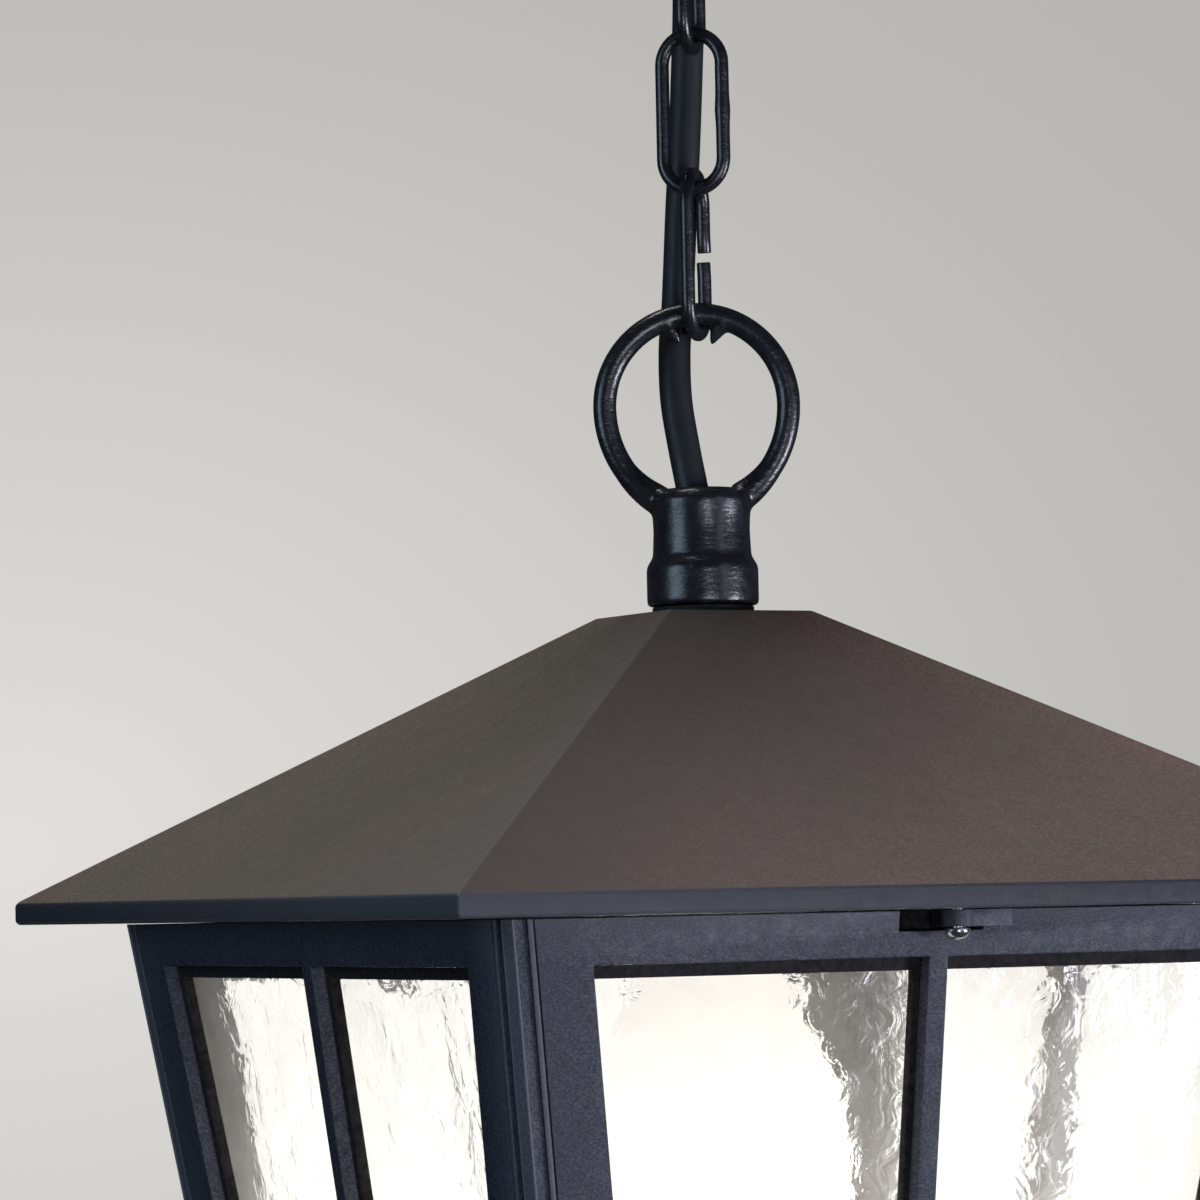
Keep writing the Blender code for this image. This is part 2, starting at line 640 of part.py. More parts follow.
def make_lamp():
    """The lamp: a screw cap and a pear-shaped glass, hollow, open into the cap."""
    cap_top = LAMP_INSERT_TOP_Z - 15 * MM - GAP
    cap_low = EAVES_Z - 8 * MM
    cap_profile = [
        (0, cap_top), (5 * MM, cap_top), (6 * MM, cap_top - 1.5 * MM), (12 * MM, cap_top - 4 * MM),
        (13 * MM, cap_top - 5 * MM), (13 * MM, cap_low), (12.4 * MM, cap_low),
        (12.4 * MM, cap_top - 6 * MM),
        (0, cap_top - 6 * MM),
    ]
    cap = add_object("lamp_cap", turned_mesh("lamp_cap", cap_profile), "brass")
    outline = [
        (12 * MM, -2), (12.1 * MM, -8.5), (13.2 * MM, -12), (15.5 * MM, -18), (19.5 * MM, -26),
        (24.5 * MM, -35),
        (28.2 * MM, -44), (30 * MM, -54), (29.2 * MM, -63), (26 * MM, -71.5), (20.5 * MM, -78.6),
        (13.5 * MM, -83),
        (6.5 * MM, -85.1), (0, -85.6),
    ]
    skin = 1 * MM
    outer = [(x, EAVES_Z + z * MM) for x, z in outline]
    inner = [(x - skin, z + (skin if x < 20 * MM else 0)) for x, z in reversed(outer[8:-1])]
    inner += [(x - skin, z) for x, z in reversed(outer[:8])]
    profile = [(0, outer[-1][1] + skin)] + inner + outer
    glass = add_object("lamp_glass", turned_mesh("lamp_glass", profile, steps=28), "lamp_glass",
        smooth_angle=60)
    return cap, glass


def make_roof_leaf():
    """The roof's half of the hinge: a leaf under the soffit with the two outer knuckles."""
    leaf_high = EAVES_Z - FASCIA - GAP
    mesh = box_mesh("hinge_leaf_roof", (2 * HINGE_HALF, 11 * MM, 1.8 * MM),
        (0, HINGE_Y + 6.3 * MM, leaf_high - 0.9 * MM))
    leaf = add_object("hinge_leaf_roof", mesh, "frame_paint")
    knuckle = HINGE_HALF - KNUCKLE_HALF - GAP
    for side in (-1, 1):
        place = (side * (HINGE_HALF - knuckle / 2), HINGE_Y, HINGE_Z)
        cut(leaf, cylinder_mesh("knuckle", HINGE_BARREL, knuckle, place, "X", 20), "UNION")
        cut(leaf, cylinder_mesh("screw_hole", 1.5 * MM + GAP, 8 * MM,
            (side * 14 * MM, 107 * MM, leaf_high), "Z", 12))
    relief = box_mesh("relief", (2 * (KNUCKLE_HALF + GAP), 7.2 * MM, 8 * MM),
        (0, HINGE_Y + 1.8 * MM, HINGE_Z))
    cut(leaf, relief)
    return cut(leaf, cylinder_mesh("pin_bore", HINGE_PIN + GAP, 60 * MM, (0, HINGE_Y, HINGE_Z), "X", 16))


def make_leaf_screw(name, x):
    """A screw that holds the roof's leaf to the soffit, up through the leaf."""
    high = EAVES_Z - FASCIA - GAP
    head_top = high - 1.8 * MM - GAP
    head = add_object(name, cylinder_mesh(name, 2.6 * MM, 1.4 * MM, (x, 107 * MM, head_top - 0.7 * MM),
        "Z", 16), "bright_screw")
    low, top = head_top - 0.7 * MM, EAVES_Z - FASCIA + ROOF_SKIN + 2 * MM
    return cut(head, cylinder_mesh("shank", 1.5 * MM, top - low, (x, 107 * MM, (top + low) / 2), "Z", 12),
        "UNION")


def make_catch_screw():
    """The domed pivot screw that the catch turns on."""
    high = CAGE_TOP_Z - GAP - CATCH_THICKNESS - GAP
    profile = [
        (0, CAGE_TOP_Z + ROOF_SKIN + 2 * MM), (1.2 * MM, CAGE_TOP_Z + ROOF_SKIN + 2 * MM),
        (1.2 * MM, high), (2.6 * MM, high),
        (2.5 * MM, high - 0.9 * MM), (1.9 * MM, high - 1.7 * MM), (1.0 * MM, high - 2.2 * MM),
        (0, high - 2.4 * MM),
    ]
    mesh = turned_mesh("catch_pivot_screw", profile, steps=20)
    mesh.transform(Matrix.Translation((CATCH_X, CATCH_Y, 0)))
    return add_object("catch_pivot_screw", mesh, "bright_screw")


# Catch


def make_catch():
    """The turn catch: a finger tab along the fascia and a tongue that reaches into the cage's top rail."""
    high = CAGE_TOP_Z - GAP
    low = high - CATCH_THICKNESS
    catch = add_object("roof_catch", cylinder_mesh("roof_catch", 3.2 * MM, CATCH_THICKNESS, (CATCH_X,
        CATCH_Y, (high + low) / 2)),
                       "frame_paint")
    tab = box_mesh("tab", (CATCH_TAB, 2.4 * MM, CATCH_THICKNESS),
        (CATCH_X + CATCH_TAB / 2, CATCH_Y, (high + low) / 2))
    cut(catch, tab, "UNION")
    tongue = box_mesh("tongue", (3.2 * MM, CATCH_TONGUE, CATCH_THICKNESS),
        (CATCH_X, CATCH_Y + CATCH_TONGUE / 2, (high + low) / 2))
    cut(catch, tongue, "UNION")
    return cut(catch, cylinder_mesh("pivot_bore", 1.2 * MM + GAP, 10 * MM, (CATCH_X, CATCH_Y, high), "Z",
        16))


# Cage

SIDES = (("front", 0), ("right", 90), ("back", 180), ("left", 270))


def turned_to(mesh, degrees):
    """A copy of a front-side mesh turned to another side."""
    copy = mesh.copy()
    copy.transform(Matrix.Rotation(math.radians(degrees), 4, "Z"))
    return copy


def make_posts():
    """Four angle-section corner posts that lean in with the taper, with a chamfered outer corner."""
    top = CAGE_TOP_Z - GAP
    low = CAGE_BOTTOM_Z
    w = half_width(low)
    chamfer = POST_CHAMFER
    outline = [
        (-w + chamfer, -w), (-w + STILE, -w), (-w + STILE, -w + FRAME_DEPTH),
        (-w + FRAME_DEPTH, -w + FRAME_DEPTH),
        (-w + FRAME_DEPTH, -w + STILE), (-w, -w + STILE), (-w, -w + chamfer),
    ]
    out = half_width(top) - w
    mesh = prism_mesh("corner_post", outline, low, top, lean=(-out, -out))
    return [
        soften(add_object(f"corner_post_{name}", turned_to(mesh, degrees), "frame_paint"), 0.4 * MM)
        for name, degrees in (("front_left", 0), ("front_right", 90), ("back_right", 180),
            ("back_left", 270))
    ]


def make_side_pieces():
    """Each side's rails, glazing bar, pane and pane clip."""
    top = CAGE_TOP_Z - GAP
    rail_low = top - TOP_RAIL
    sill_high = CAGE_BOTTOM_Z + BOTTOM_RAIL
    inset = STILE + GAP
    top_rail = side_slab("top_rail", side_band(inset, top, rail_low), 0, FRAME_DEPTH)
    bottom_rail = side_slab("bottom_rail", side_band(inset, sill_high, CAGE_BOTTOM_Z), 0, FRAME_DEPTH)
    bar_half = MULLION / 2
    bar_outline = [
        (-bar_half, rail_low - GAP), (bar_half, rail_low - GAP), (bar_half, sill_high + GAP),
        (-bar_half, sill_high + GAP),
    ]
    bar = side_slab("glazing_bar", bar_outline, 0, MULLION_DEPTH)
    pane_outer = FRAME_DEPTH + GAP
    pane_outline = side_band(FRAME_DEPTH + PANE + 1.2 * MM, top - 3 * MM, CAGE_BOTTOM_Z + 3 * MM)
    pane = side_slab("glass_pane", pane_outline, pane_outer, pane_outer + PANE)
    clip_half = 5 * MM
    clip_outline = [
        (-clip_half, CAGE_BOTTOM_Z + 17 * MM), (clip_half, CAGE_BOTTOM_Z + 17 * MM),
        (clip_half, CAGE_BOTTOM_Z),
        (-clip_half, CAGE_BOTTOM_Z),
    ]
    clip_outer = pane_outer + PANE + GAP
    clip = side_slab("pane_clip", clip_outline, clip_outer, clip_outer + 1.2 * MM)
    pieces = []
    for name, degrees in SIDES:
        rail = soften(add_object(f"top_rail_{name}", turned_to(top_rail, degrees), "frame_paint"), 0.4 * MM)
        if name == "front":
            cut_catch_slot(rail, top)
        pieces += [
            rail,
            soften(add_object(f"bottom_rail_{name}", turned_to(bottom_rail, degrees), "frame_paint"),
                0.4 * MM),
            soften(add_object(f"glazing_bar_{name}", turned_to(bar, degrees), "frame_paint"), 0.7 * MM),
            add_object(f"glass_pane_{name}", turned_to(pane, degrees), "water_glass"),
            add_object(f"pane_clip_{name}", turned_to(clip, degrees), "brass"),
        ]
    return pieces


def cut_catch_slot(rail, top):
    """The notch in the front top rail that the catch's tongue turns in."""
    width = SLOT_RIGHT - SLOT_LEFT
    size = (width, 12 * MM, 2 * SLOT_DEPTH)
    cut(rail, box_mesh("catch_slot", size, ((SLOT_LEFT + SLOT_RIGHT) / 2, -CAGE_HALF, top)))


def make_base():
    """The stepped base casting, hollow from above."""
    top = CAGE_BOTTOM_Z - GAP
    flange_low = top - BASE_FLANGE
    low = top - BASE_DEPTH
    inner = half_width(CAGE_BOTTOM_Z) - STILE
    profile = [
        (0, low + 3 * MM), (inner, low + 3 * MM), (inner, top), (BASE_FLANGE_HALF - 0.5 * MM, top),
        (BASE_FLANGE_HALF, top - 0.5 * MM),
        (BASE_FLANGE_HALF, flange_low + 0.5 * MM), (BASE_FLANGE_HALF - 0.5 * MM, flange_low),
        (BASE_STEP_HALF, flange_low),
        (BASE_STEP_HALF - 3 * MM, low), (0, low),
    ]
    base = add_object("base_plate", square_mesh("base_plate", profile), "frame_paint", smooth_angle=20)
    for x, y in base_screw_places():
        cut(base, cylinder_mesh("screw_hole", 1.8 * MM + GAP, 40 * MM, (x, y, low), "Z", 12))
    return base


def base_screw_places():
    """Where the base's screws are: inside each corner of the cage, in the posts' feet."""
    reach = half_width(CAGE_BOTTOM_Z) - 3 * MM
    return [(sx * (reach - 0.2 * MM), sy * (reach - 0.2 * MM)) for sx,
        sy in ((-1, -1), (1, -1), (1, 1), (-1, 1))]


def make_base_screws():
    """Four screws up through the base flange, stopping at the posts' feet."""
    flange_low = CAGE_BOTTOM_Z - GAP - BASE_FLANGE
    screws = []
    for name, (x, y) in zip(("front_left", "front_right", "back_right", "back_left"), base_screw_places()):
        head = cylinder_mesh("base_screw", 3.2 * MM, 1.6 * MM, (x, y, flange_low - GAP - 0.8 * MM), "Z", 16)
        screw = add_object(f"base_screw_{name}", head, "bright_screw")
        high, low = CAGE_BOTTOM_Z - GAP, flange_low - GAP - 0.8 * MM
        cut(screw, cylinder_mesh("shank", 1.8 * MM, high - low, (x, y, (high + low) / 2), "Z", 12), "UNION")
        screws.append(screw)
    return screws


def make_cage_leaf():
    """The cage's half of the hinge: a leaf down the back top rail with the middle knuckle."""
    leaf = add_object("hinge_leaf_cage", cylinder_mesh("hinge_leaf_cage", HINGE_BARREL, 2 * KNUCKLE_HALF,
        (0, HINGE_Y, HINGE_Z), "X", 20),
                      "frame_paint")
    high, low = HINGE_Z - MM, CAGE_TOP_Z - 11 * MM
    outline = [(-KNUCKLE_HALF, high), (KNUCKLE_HALF, high), (KNUCKLE_HALF, low), (-KNUCKLE_HALF, low)]
    plate = side_slab("plate", outline, -GAP - 1.8 * MM, -GAP)
    cut(leaf, turned_to(plate, 180), "UNION")
    return cut(leaf, cylinder_mesh("pin_bore", HINGE_PIN + GAP, 60 * MM, (0, HINGE_Y, HINGE_Z), "X", 16))


def make_hinge_pin():
    """The hinge pin, a little longer than the knuckles."""
    return add_object("hinge_pin", cylinder_mesh("hinge_pin", HINGE_PIN, 2 * HINGE_HALF + 2 * MM, (0,
        HINGE_Y, HINGE_Z), "X", 16),
                      "bright_screw")


def build():
    """Make every piece and hang it from its joint's pivot."""
    clear_scene()
    ceiling = add_pivot("ceiling_mount_pivot", (0, 0, 0))
    link_1 = add_pivot("link_1_pivot", (0, 0, HOOK_PIVOT_Z), ceiling)
    link_2 = add_pivot("link_2_pivot", (0, 0, LINK_1_PIVOT_Z), link_1)
    link_3 = add_pivot("link_3_pivot", (0, 0, LINK_2_PIVOT_Z), link_2)
    connector = add_pivot("connector_pivot", (0, 0, LINK_3_PIVOT_Z), link_3)
    head = add_pivot("head_pivot", (0, 0, CONNECTOR_PIVOT_Z), connector)
    cage = add_pivot("cage_pivot", (0, HINGE_Y, HINGE_Z), head)
    catch = add_pivot("catch_pivot", (CATCH_X, CATCH_Y, CAGE_TOP_Z), head)

    hang(ceiling, make_strap(), make_canopy(), make_hook(), make_hook_nut(), make_terminal_block(),
        make_grommet())
    hang(ceiling, make_canopy_screw("canopy_screw_front", -1), make_canopy_screw("canopy_screw_back", 1))
    hang(link_1, make_link("chain_link_1", LINK_HEADING, LINK_1_TOP_Z))
    hang(link_2, make_link("chain_link_2", CROSS_HEADING, LINK_1_PIVOT_Z + LINK_LAP))
    hang(link_3, make_link("chain_link_3", LINK_HEADING, LINK_2_PIVOT_Z + LINK_LAP))
    hang(connector, make_connector())
    hang(head, make_hanging_loop(), make_loop_washer(), make_roof(), make_loop_nut(), *make_lampholder(),
        *make_lamp())
    hang(head, make_roof_leaf(), make_leaf_screw("leaf_screw_left", -14 * MM),
        make_leaf_screw("leaf_screw_right", 14 * MM))
    hang(head, make_catch_screw(), make_flex())
    hang(catch, make_catch())
    hang(cage, *make_posts(), *make_side_pieces(), make_base(), *make_base_screws(), make_cage_leaf(),
        make_hinge_pin())


build()
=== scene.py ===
"""Looks of the hanging lantern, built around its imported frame. Metres, +Z up, the lantern's axis on Z."""
import json
from math import cos, exp, pi, radians, sin, sqrt, tau

import bmesh
import bpy
from mathutils import Matrix, Vector, noise


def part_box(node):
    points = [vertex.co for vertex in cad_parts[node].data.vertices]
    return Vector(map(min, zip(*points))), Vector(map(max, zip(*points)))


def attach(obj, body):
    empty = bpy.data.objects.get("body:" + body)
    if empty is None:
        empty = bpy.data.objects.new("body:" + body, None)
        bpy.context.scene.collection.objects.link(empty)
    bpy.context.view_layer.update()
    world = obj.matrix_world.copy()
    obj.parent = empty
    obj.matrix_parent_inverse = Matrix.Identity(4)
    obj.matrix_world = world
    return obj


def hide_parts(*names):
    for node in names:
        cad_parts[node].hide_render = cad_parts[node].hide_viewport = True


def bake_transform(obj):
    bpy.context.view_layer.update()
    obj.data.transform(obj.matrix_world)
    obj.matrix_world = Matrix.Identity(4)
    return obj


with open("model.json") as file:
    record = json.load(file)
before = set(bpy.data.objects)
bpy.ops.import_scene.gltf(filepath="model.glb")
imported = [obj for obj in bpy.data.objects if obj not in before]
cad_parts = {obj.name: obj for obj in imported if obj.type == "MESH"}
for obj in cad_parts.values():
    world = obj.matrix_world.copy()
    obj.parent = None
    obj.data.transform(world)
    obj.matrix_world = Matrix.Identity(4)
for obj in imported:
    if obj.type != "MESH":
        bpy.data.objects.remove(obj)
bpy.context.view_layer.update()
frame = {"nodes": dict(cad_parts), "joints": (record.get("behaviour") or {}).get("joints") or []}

MM = 0.001
GAP = 0.3 * MM  # clearance between touching pieces


def corners(node):
    """The low and high corners of a node's box."""
    low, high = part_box(node)
    return Vector(low), Vector(high)


def centre_of(node):
    """The middle of a node's box."""
    low, high = corners(node)
    return (low + high) / 2


# Sizes read from the frame
ROOF_LOW, ROOF_HIGH = corners("roof_shell")
RAIL_LOW, RAIL_HIGH = corners("top_rail_front")
BASE_LOW, BASE_HIGH = corners("base_plate")
EAVES_HALF = ROOF_HIGH.x
ROOF_TOP_Z = ROOF_HIGH.z
CAGE_TOP_Z = ROOF_LOW.z
FASCIA = 4.8 * MM  # height of the roof's rim
EAVES_Z = CAGE_TOP_Z + FASCIA
CAGE_BOTTOM_Z = corners("corner_post_front_left")[0].z
TAPER = 0.147  # how much each side comes in for each unit of height
CAGE_HALF = -RAIL_LOW.y + TAPER * (CAGE_TOP_Z - RAIL_HIGH.z)
JOINTS = {joint["name"]: joint for joint in frame["joints"]}

# Shapes that the frame's boxes don't give
ROOF_FLAT_HALF = 17.2 * MM
ROOF_SKIN = 2.5 * MM
SOFFIT_HALF = 86 * MM  # half width of the roof's lower opening
ROOF_HOLE = 7 * MM  # half width of the roof's hole for the shank
FRAME_DEPTH = 6 * MM
PLATE_DEPTH = 3.8 * MM  # the side casting's face, without the lip behind it
STRIP = 6 * MM  # width of a corner strip
STILE = 18.2 * MM  # cage corner to window
TOP_FACE = 9.2 * MM  # cage top to window
BAR = 4.5 * MM  # width of the glazing bar
LIP_TOP = 2.6 * MM  # how far the lip shows at a window's top, and at its sides
LIP_SIDE = 1.2 * MM
SILL = 14 * MM  # cage bottom to window
PANE = 3 * MM  # thickness of the glass
PANE_WAVE = 0.55 * MM
RING_RADIUS = 19.85 * MM  # to the middle of the wire
RING_WIRE = 2.55 * MM  # wire radius
RING_RISE = 45.15 * MM  # roof top up to the ring's centre
RING_DRIFT = -0.5 * MM  # the ring's centre beside the collar's
RING_DROOP = 1.13  # the ring's lower half, longer than a half circle
RING_LOWEST = radians(-60)  # where the ring's wire meets the collar
RING_FOOT = 2 * MM
COLLAR_LOW_RADIUS = 12.05 * MM
COLLAR_TOP_RADIUS = 10.85 * MM
COLLAR_LOW_TOP = 10.3 * MM
COLLAR_TOP = 25.6 * MM
BORE = 4.3 * MM  # radius of the way for the flex
LINK_WIRE = 1.5 * MM  # wire radius
LINK_HALF_WIDTH = 6.7 * MM
FLEX_RADIUS = 3.5 * MM
HOOK_WIRE = 2 * MM
HOOK_RADIUS = 8 * MM
COVER_SKIN = 1.6 * MM
HIP_SHADE = 160 * MM  # how far the roof's shading reaches from a hip
FLOOR_Z = -1.6
FLOOR_HALF = 2.6
RING_HEADING = radians(-27.3)
LINK_HEADING = radians(-43.8)
CROSS_HEADING = LINK_HEADING + radians(90)
VIEW_HEADING = radians(-27.26)  # the camera's level right-hand direction
SIDES = (("front", 0), ("right", 90), ("back", 180), ("left", 270))
CORNERS = (("front_left", 0), ("front_right", 90), ("back_right", 180), ("back_left", 270))

# Area lights: name, place, size, watts and colour
LIGHTS = (
    ("key", (0.98, -1.02, -0.58), 0.40, 11.4, (0.87, 0.87, 1.0)),
    ("front_left", (-0.34, -1.46, -0.55), 0.40, 4.5, (0.88, 0.90, 1.0)),
    ("top", (-0.02, 0.12, 1.0), 0.6, 13, (1.0, 0.98, 0.93)),
    ("strip_left", (-1.23, -0.10, -0.10), (0.62, 0.6), 3.3, (0.60, 0.80, 1.0)),
    ("strip_right", (0.40, -1.17, -0.10), (0.30, 0.5), 0.6, (0.66, 0.82, 1.0)),
)
# Backdrop tones by distance from its bright patch
BACKDROP = (
    (0.0, (0.755, 0.745, 0.715)), (0.137, (0.610, 0.604, 0.578)), (0.225, (0.520, 0.514, 0.490)),
    (0.32, (0.473, 0.468, 0.445)),
)


def half_width(z):
    """Half the cage's width at a height."""
    return CAGE_HALF + TAPER * (z - CAGE_TOP_Z)


def heading_vector(heading):
    """The level direction of a heading."""
    return Vector((cos(heading), sin(heading), 0))


def up(height):
    """A vector straight up."""
    return Vector((0, 0, height))


def show(obj):
    """Put an object in the scene."""
    bpy.context.scene.collection.objects.link(obj)


# Camera


def make_camera():
    """The camera, left of the front, near the height of the eaves and looking slightly up."""
    pitch, roll = radians(3.37), radians(1.157)
    distance = 1.0956
    level_right = heading_vector(VIEW_HEADING)
    level_back = Vector((sin(VIEW_HEADING), -cos(VIEW_HEADING), 0))
    forward = -level_back * cos(pitch) + up(sin(pitch))
    level_up = level_right.cross(forward)
    right = level_right * cos(roll) - level_up * sin(roll)
    top = level_right * sin(roll) + level_up * cos(roll)
    target = level_right * -0.0222 + up(EAVES_Z + 0.0627)
    camera = bpy.data.objects.new("camera", bpy.data.cameras.new("camera"))
    camera.data.sensor_width = 36
    camera.data.lens = 152.6
    camera.data.clip_start = 0.02
    camera.data.dof.use_dof = False
    place = target - forward * distance
    camera.matrix_world = Matrix.Translation(place) @ Matrix((right, top, -forward)).transposed().to_4x4()
    show(camera)
    bpy.context.scene.camera = camera


# Node materials


def fill_ramp(node, stops):
    """Fill a colour ramp from (position, colour) stops; a colour may be one grey value."""
    elements = node.color_ramp.elements
    while len(elements) < len(stops):
        elements.new(0.5)
    for element, (position, colour) in zip(elements, stops):
        element.position = position
        element.color = (colour, colour, colour, 1) if isinstance(colour, (int, float)) else (*colour, 1)


class Shader:
    """A Principled material and short calls that add nodes to it."""

    def __init__(self, name, roughness=0.5, metallic=0.0, **values):
        self.material = bpy.data.materials.new(name)
        self.material.use_nodes = True
        self.nodes = self.material.node_tree.nodes
        self.links = self.material.node_tree.links
        self.surface = self.nodes["Principled BSDF"]
        self.output = self.nodes["Material Output"]
        self.place = self.nodes.new("ShaderNodeTexCoord").outputs["Object"]
        self.set("Roughness", roughness)
        self.set("Metallic", metallic)
        for key, value in values.items():
            self.set(key.replace("_", " "), value)

    def feed(self, socket, value):
        """Link a socket to an output, or set it to a value."""
        if hasattr(value, "is_output"):
            self.links.new(value, socket)
        else:
            socket.default_value = value

    def set(self, socket, value):
        """Set or link one of the surface's inputs."""
        self.feed(self.surface.inputs[socket], value)

    def noise(self, scale, detail=4, roughness=0.5, stretch=None, distortion=0.0):
        """Noise whose features are about 1/scale metres across."""
        node = self.nodes.new("ShaderNodeTexNoise")
        node.inputs["Scale"].default_value = scale
        node.inputs["Detail"].default_value = detail
        node.inputs["Roughness"].default_value = roughness
        node.inputs["Distortion"].default_value = distortion
        self.links.new(self.stretched(stretch), node.inputs["Vector"])
        return node.outputs["Fac"]

    def stretched(self, stretch):
        """The object's coordinates, scaled unevenly."""
        if stretch is None:
            return self.place
        node = self.nodes.new("ShaderNodeMapping")
        node.inputs["Scale"].default_value = stretch
        self.links.new(self.place, node.inputs["Vector"])
        return node.outputs["Vector"]

    def ramp(self, factor, *stops):
        """A colour ramp through the stops."""
        node = self.nodes.new("ShaderNodeValToRGB")
        fill_ramp(node, stops)
        self.links.new(factor, node.inputs["Fac"])
        return node.outputs["Color"]

    def mix(self, factor, first, second, blend="MIX"):
        """Mix two colours by a factor."""
        node = self.nodes.new("ShaderNodeMix")
        node.data_type = "RGBA"
        node.blend_type = blend
        for socket, value in ((0, factor), (6, first), (7, second)):
            self.feed(node.inputs[socket], (*value, 1) if isinstance(value, tuple) else value)
        return node.outputs[2]

    def maths(self, operation, first, second):
        """Combine two values."""
        node = self.nodes.new("ShaderNodeMath")
        node.operation = operation
        for index, value in enumerate((first, second)):
            self.feed(node.inputs[index], value)
        return node.outputs[0]

    def edges(self, low=0.52, high=0.62):
        """A mask of the convex edges, from pointiness."""
        point = self.nodes.new("ShaderNodeNewGeometry").outputs["Pointiness"]
        return self.ramp(point, (low, 0.0), (high, 1.0))

    def bump(self, height, strength=0.3, depth=0.0002):
        """Bump the surface's normal by a height."""
        node = self.nodes.new("ShaderNodeBump")
        node.inputs["Strength"].default_value = strength
        node.inputs["Distance"].default_value = depth
        self.links.new(height, node.inputs["Height"])
        previous = self.surface.inputs["Normal"].links
        if previous:
            self.links.new(previous[0].from_socket, node.inputs["Normal"])
        self.links.new(node.outputs["Normal"], self.surface.inputs["Normal"])


def frame_paint(name="frame_paint", tone=1.0, shine=0.5):
    """Blue-black paint with a fine mottle over sand-cast metal; a lower tone is darker."""
    s = Shader(name, Specular_IOR_Level=shine)
    shades = [(place, [tone * channel for channel in colour]) for place, colour in (
        (0.38, (0.006, 0.008, 0.014)), (0.50, (0.026, 0.034, 0.056)), (0.66, (0.075, 0.090, 0.130)),
    )]
    speckle = s.ramp(s.noise(1500, 4, 0.7, stretch=(1, 1, 1.6)), *shades)
    patches = s.ramp(s.noise(60, 5, 0.6), (0.30, (0.80, 0.82, 0.88)), (0.70, (1.08, 1.06, 1.02)))
    colour = s.mix(1.0, speckle, patches, "MULTIPLY")
    s.set("Base Color", s.mix(s.edges(), colour, (0.15 * tone, 0.16 * tone, 0.19 * tone)))
    s.set("Roughness", s.ramp(s.noise(420, 4), (0.3, 0.46), (0.7, 0.62)))
    s.bump(s.noise(1300, 4, 0.65, stretch=(1, 1, 1.6)), 0.55, 0.00022)
    s.bump(s.noise(200, 3, 0.5), 0.10, 0.0003)
    return s.material


def recess_painted_shade():
    """Painted shade for the casting down in its rebates: a matt, nearly black finish in place of the shadow
    there.
    """
    s = Shader("recess_painted_shade")
    s.set("Base Color", s.ramp(s.noise(700, 4, 0.6), (0.35, (0.007, 0.006, 0.007)),
                               (0.65, (0.026, 0.022, 0.024))))
    s.set("Roughness", s.ramp(s.noise(420, 4), (0.3, 0.70), (0.7, 0.85)))
    s.set("Specular IOR Level", 0.25)
    s.bump(s.noise(900, 3, 0.6), 0.4, 0.0002)
    return s.material


def weathered_roof():
    """Matte brown-grey powder coat with a fine grain. Painted shade: the front and back faces are darker and
    less shiny near one hip and lighter away from it, and the left and right faces take one flat tint.
    """
    s = Shader("weathered_roof", metallic=0.0)
    grain = s.ramp(s.noise(1300, 4, 0.65), (0.34, (0.066, 0.056, 0.050)), (0.54, (0.112, 0.096, 0.087)),
                   (0.72, (0.170, 0.148, 0.136)))
    clouds = s.ramp(s.noise(24, 6, 0.62), (0.32, (0.86, 0.93, 0.84)), (0.50, (1.0, 0.96, 0.95)),
                    (0.68, (1.14, 1.02, 1.03)))
    split = s.nodes.new("ShaderNodeSeparateXYZ")
    s.links.new(s.place, split.inputs[0])
    across = s.maths("SUBTRACT", split.outputs["X"], split.outputs["Y"])
    along = s.maths("ADD", split.outputs["X"], split.outputs["Y"])
    from_hip = s.maths("DIVIDE", s.maths("ABSOLUTE", across, 0.0), HIP_SHADE)
    # Painted shade: the front and back faces darken towards one hip and lighten away from it.
    painted_hip_shade = s.ramp(from_hip, (0.0, (0.42, 0.36, 0.36)), (0.10, (0.66, 0.56, 0.55)),
                   (0.24, (1.06, 0.84, 0.82)), (0.60, (1.46, 1.14, 1.11)))
    on_front = s.maths("LESS_THAN", s.maths("MULTIPLY", across, along), 0.0)
    grain_and_painted_shade = s.mix(1.0, grain, clouds, "MULTIPLY")
    # Painted light: the left and right faces take one flat warm tint for the light they catch.
    grain_and_painted_shade = s.mix(1.0, grain_and_painted_shade, s.mix(on_front, (1.04, 1.02, 0.89), painted_hip_shade), "MULTIPLY")
    s.set("Base Color", s.mix(s.edges(0.53, 0.66), grain_and_painted_shade, (0.115, 0.098, 0.090)))
    # Painted shade: the front and back faces are less specular near the hip, so the hip reads darker.
    painted_shade_specular = s.ramp(from_hip, (0.0, 0.08), (0.14, 0.18), (0.35, 0.45), (0.7, 0.6))
    s.set("Specular IOR Level", s.mix(on_front, (0.5, 0.5, 0.5), painted_shade_specular))
    s.set("Roughness", s.ramp(s.noise(240, 4), (0.3, 0.72), (0.7, 0.88)))
    s.bump(s.noise(900, 4, 0.65), 0.55, 0.00028)
    s.bump(s.noise(60, 3), 0.12, 0.0006)
    return s.material


def black_iron():
    """Black enamel over hand-finished iron: semi-gloss, brushed in places, with small dimples."""
    s = Shader("black_iron", metallic=0.0, Coat_Weight=0.6, Coat_Roughness=0.26)
    tone = s.ramp(s.noise(260, 5, 0.6), (0.32, (0.005, 0.006, 0.009)), (0.68, (0.017, 0.020, 0.027)))
    s.set("Base Color", s.mix(s.edges(0.54, 0.68), tone, (0.060, 0.054, 0.052)))
    s.set("Roughness", s.ramp(s.noise(620, 4, 0.65, stretch=(1, 1, 2.2)), (0.3, 0.24), (0.7, 0.37)))
    s.bump(s.noise(430, 3, 0.6, stretch=(0.8, 0.8, 2.2)), 0.50, 0.00036)
    s.bump(s.noise(170, 3), 0.45, 0.0005)
    return s.material


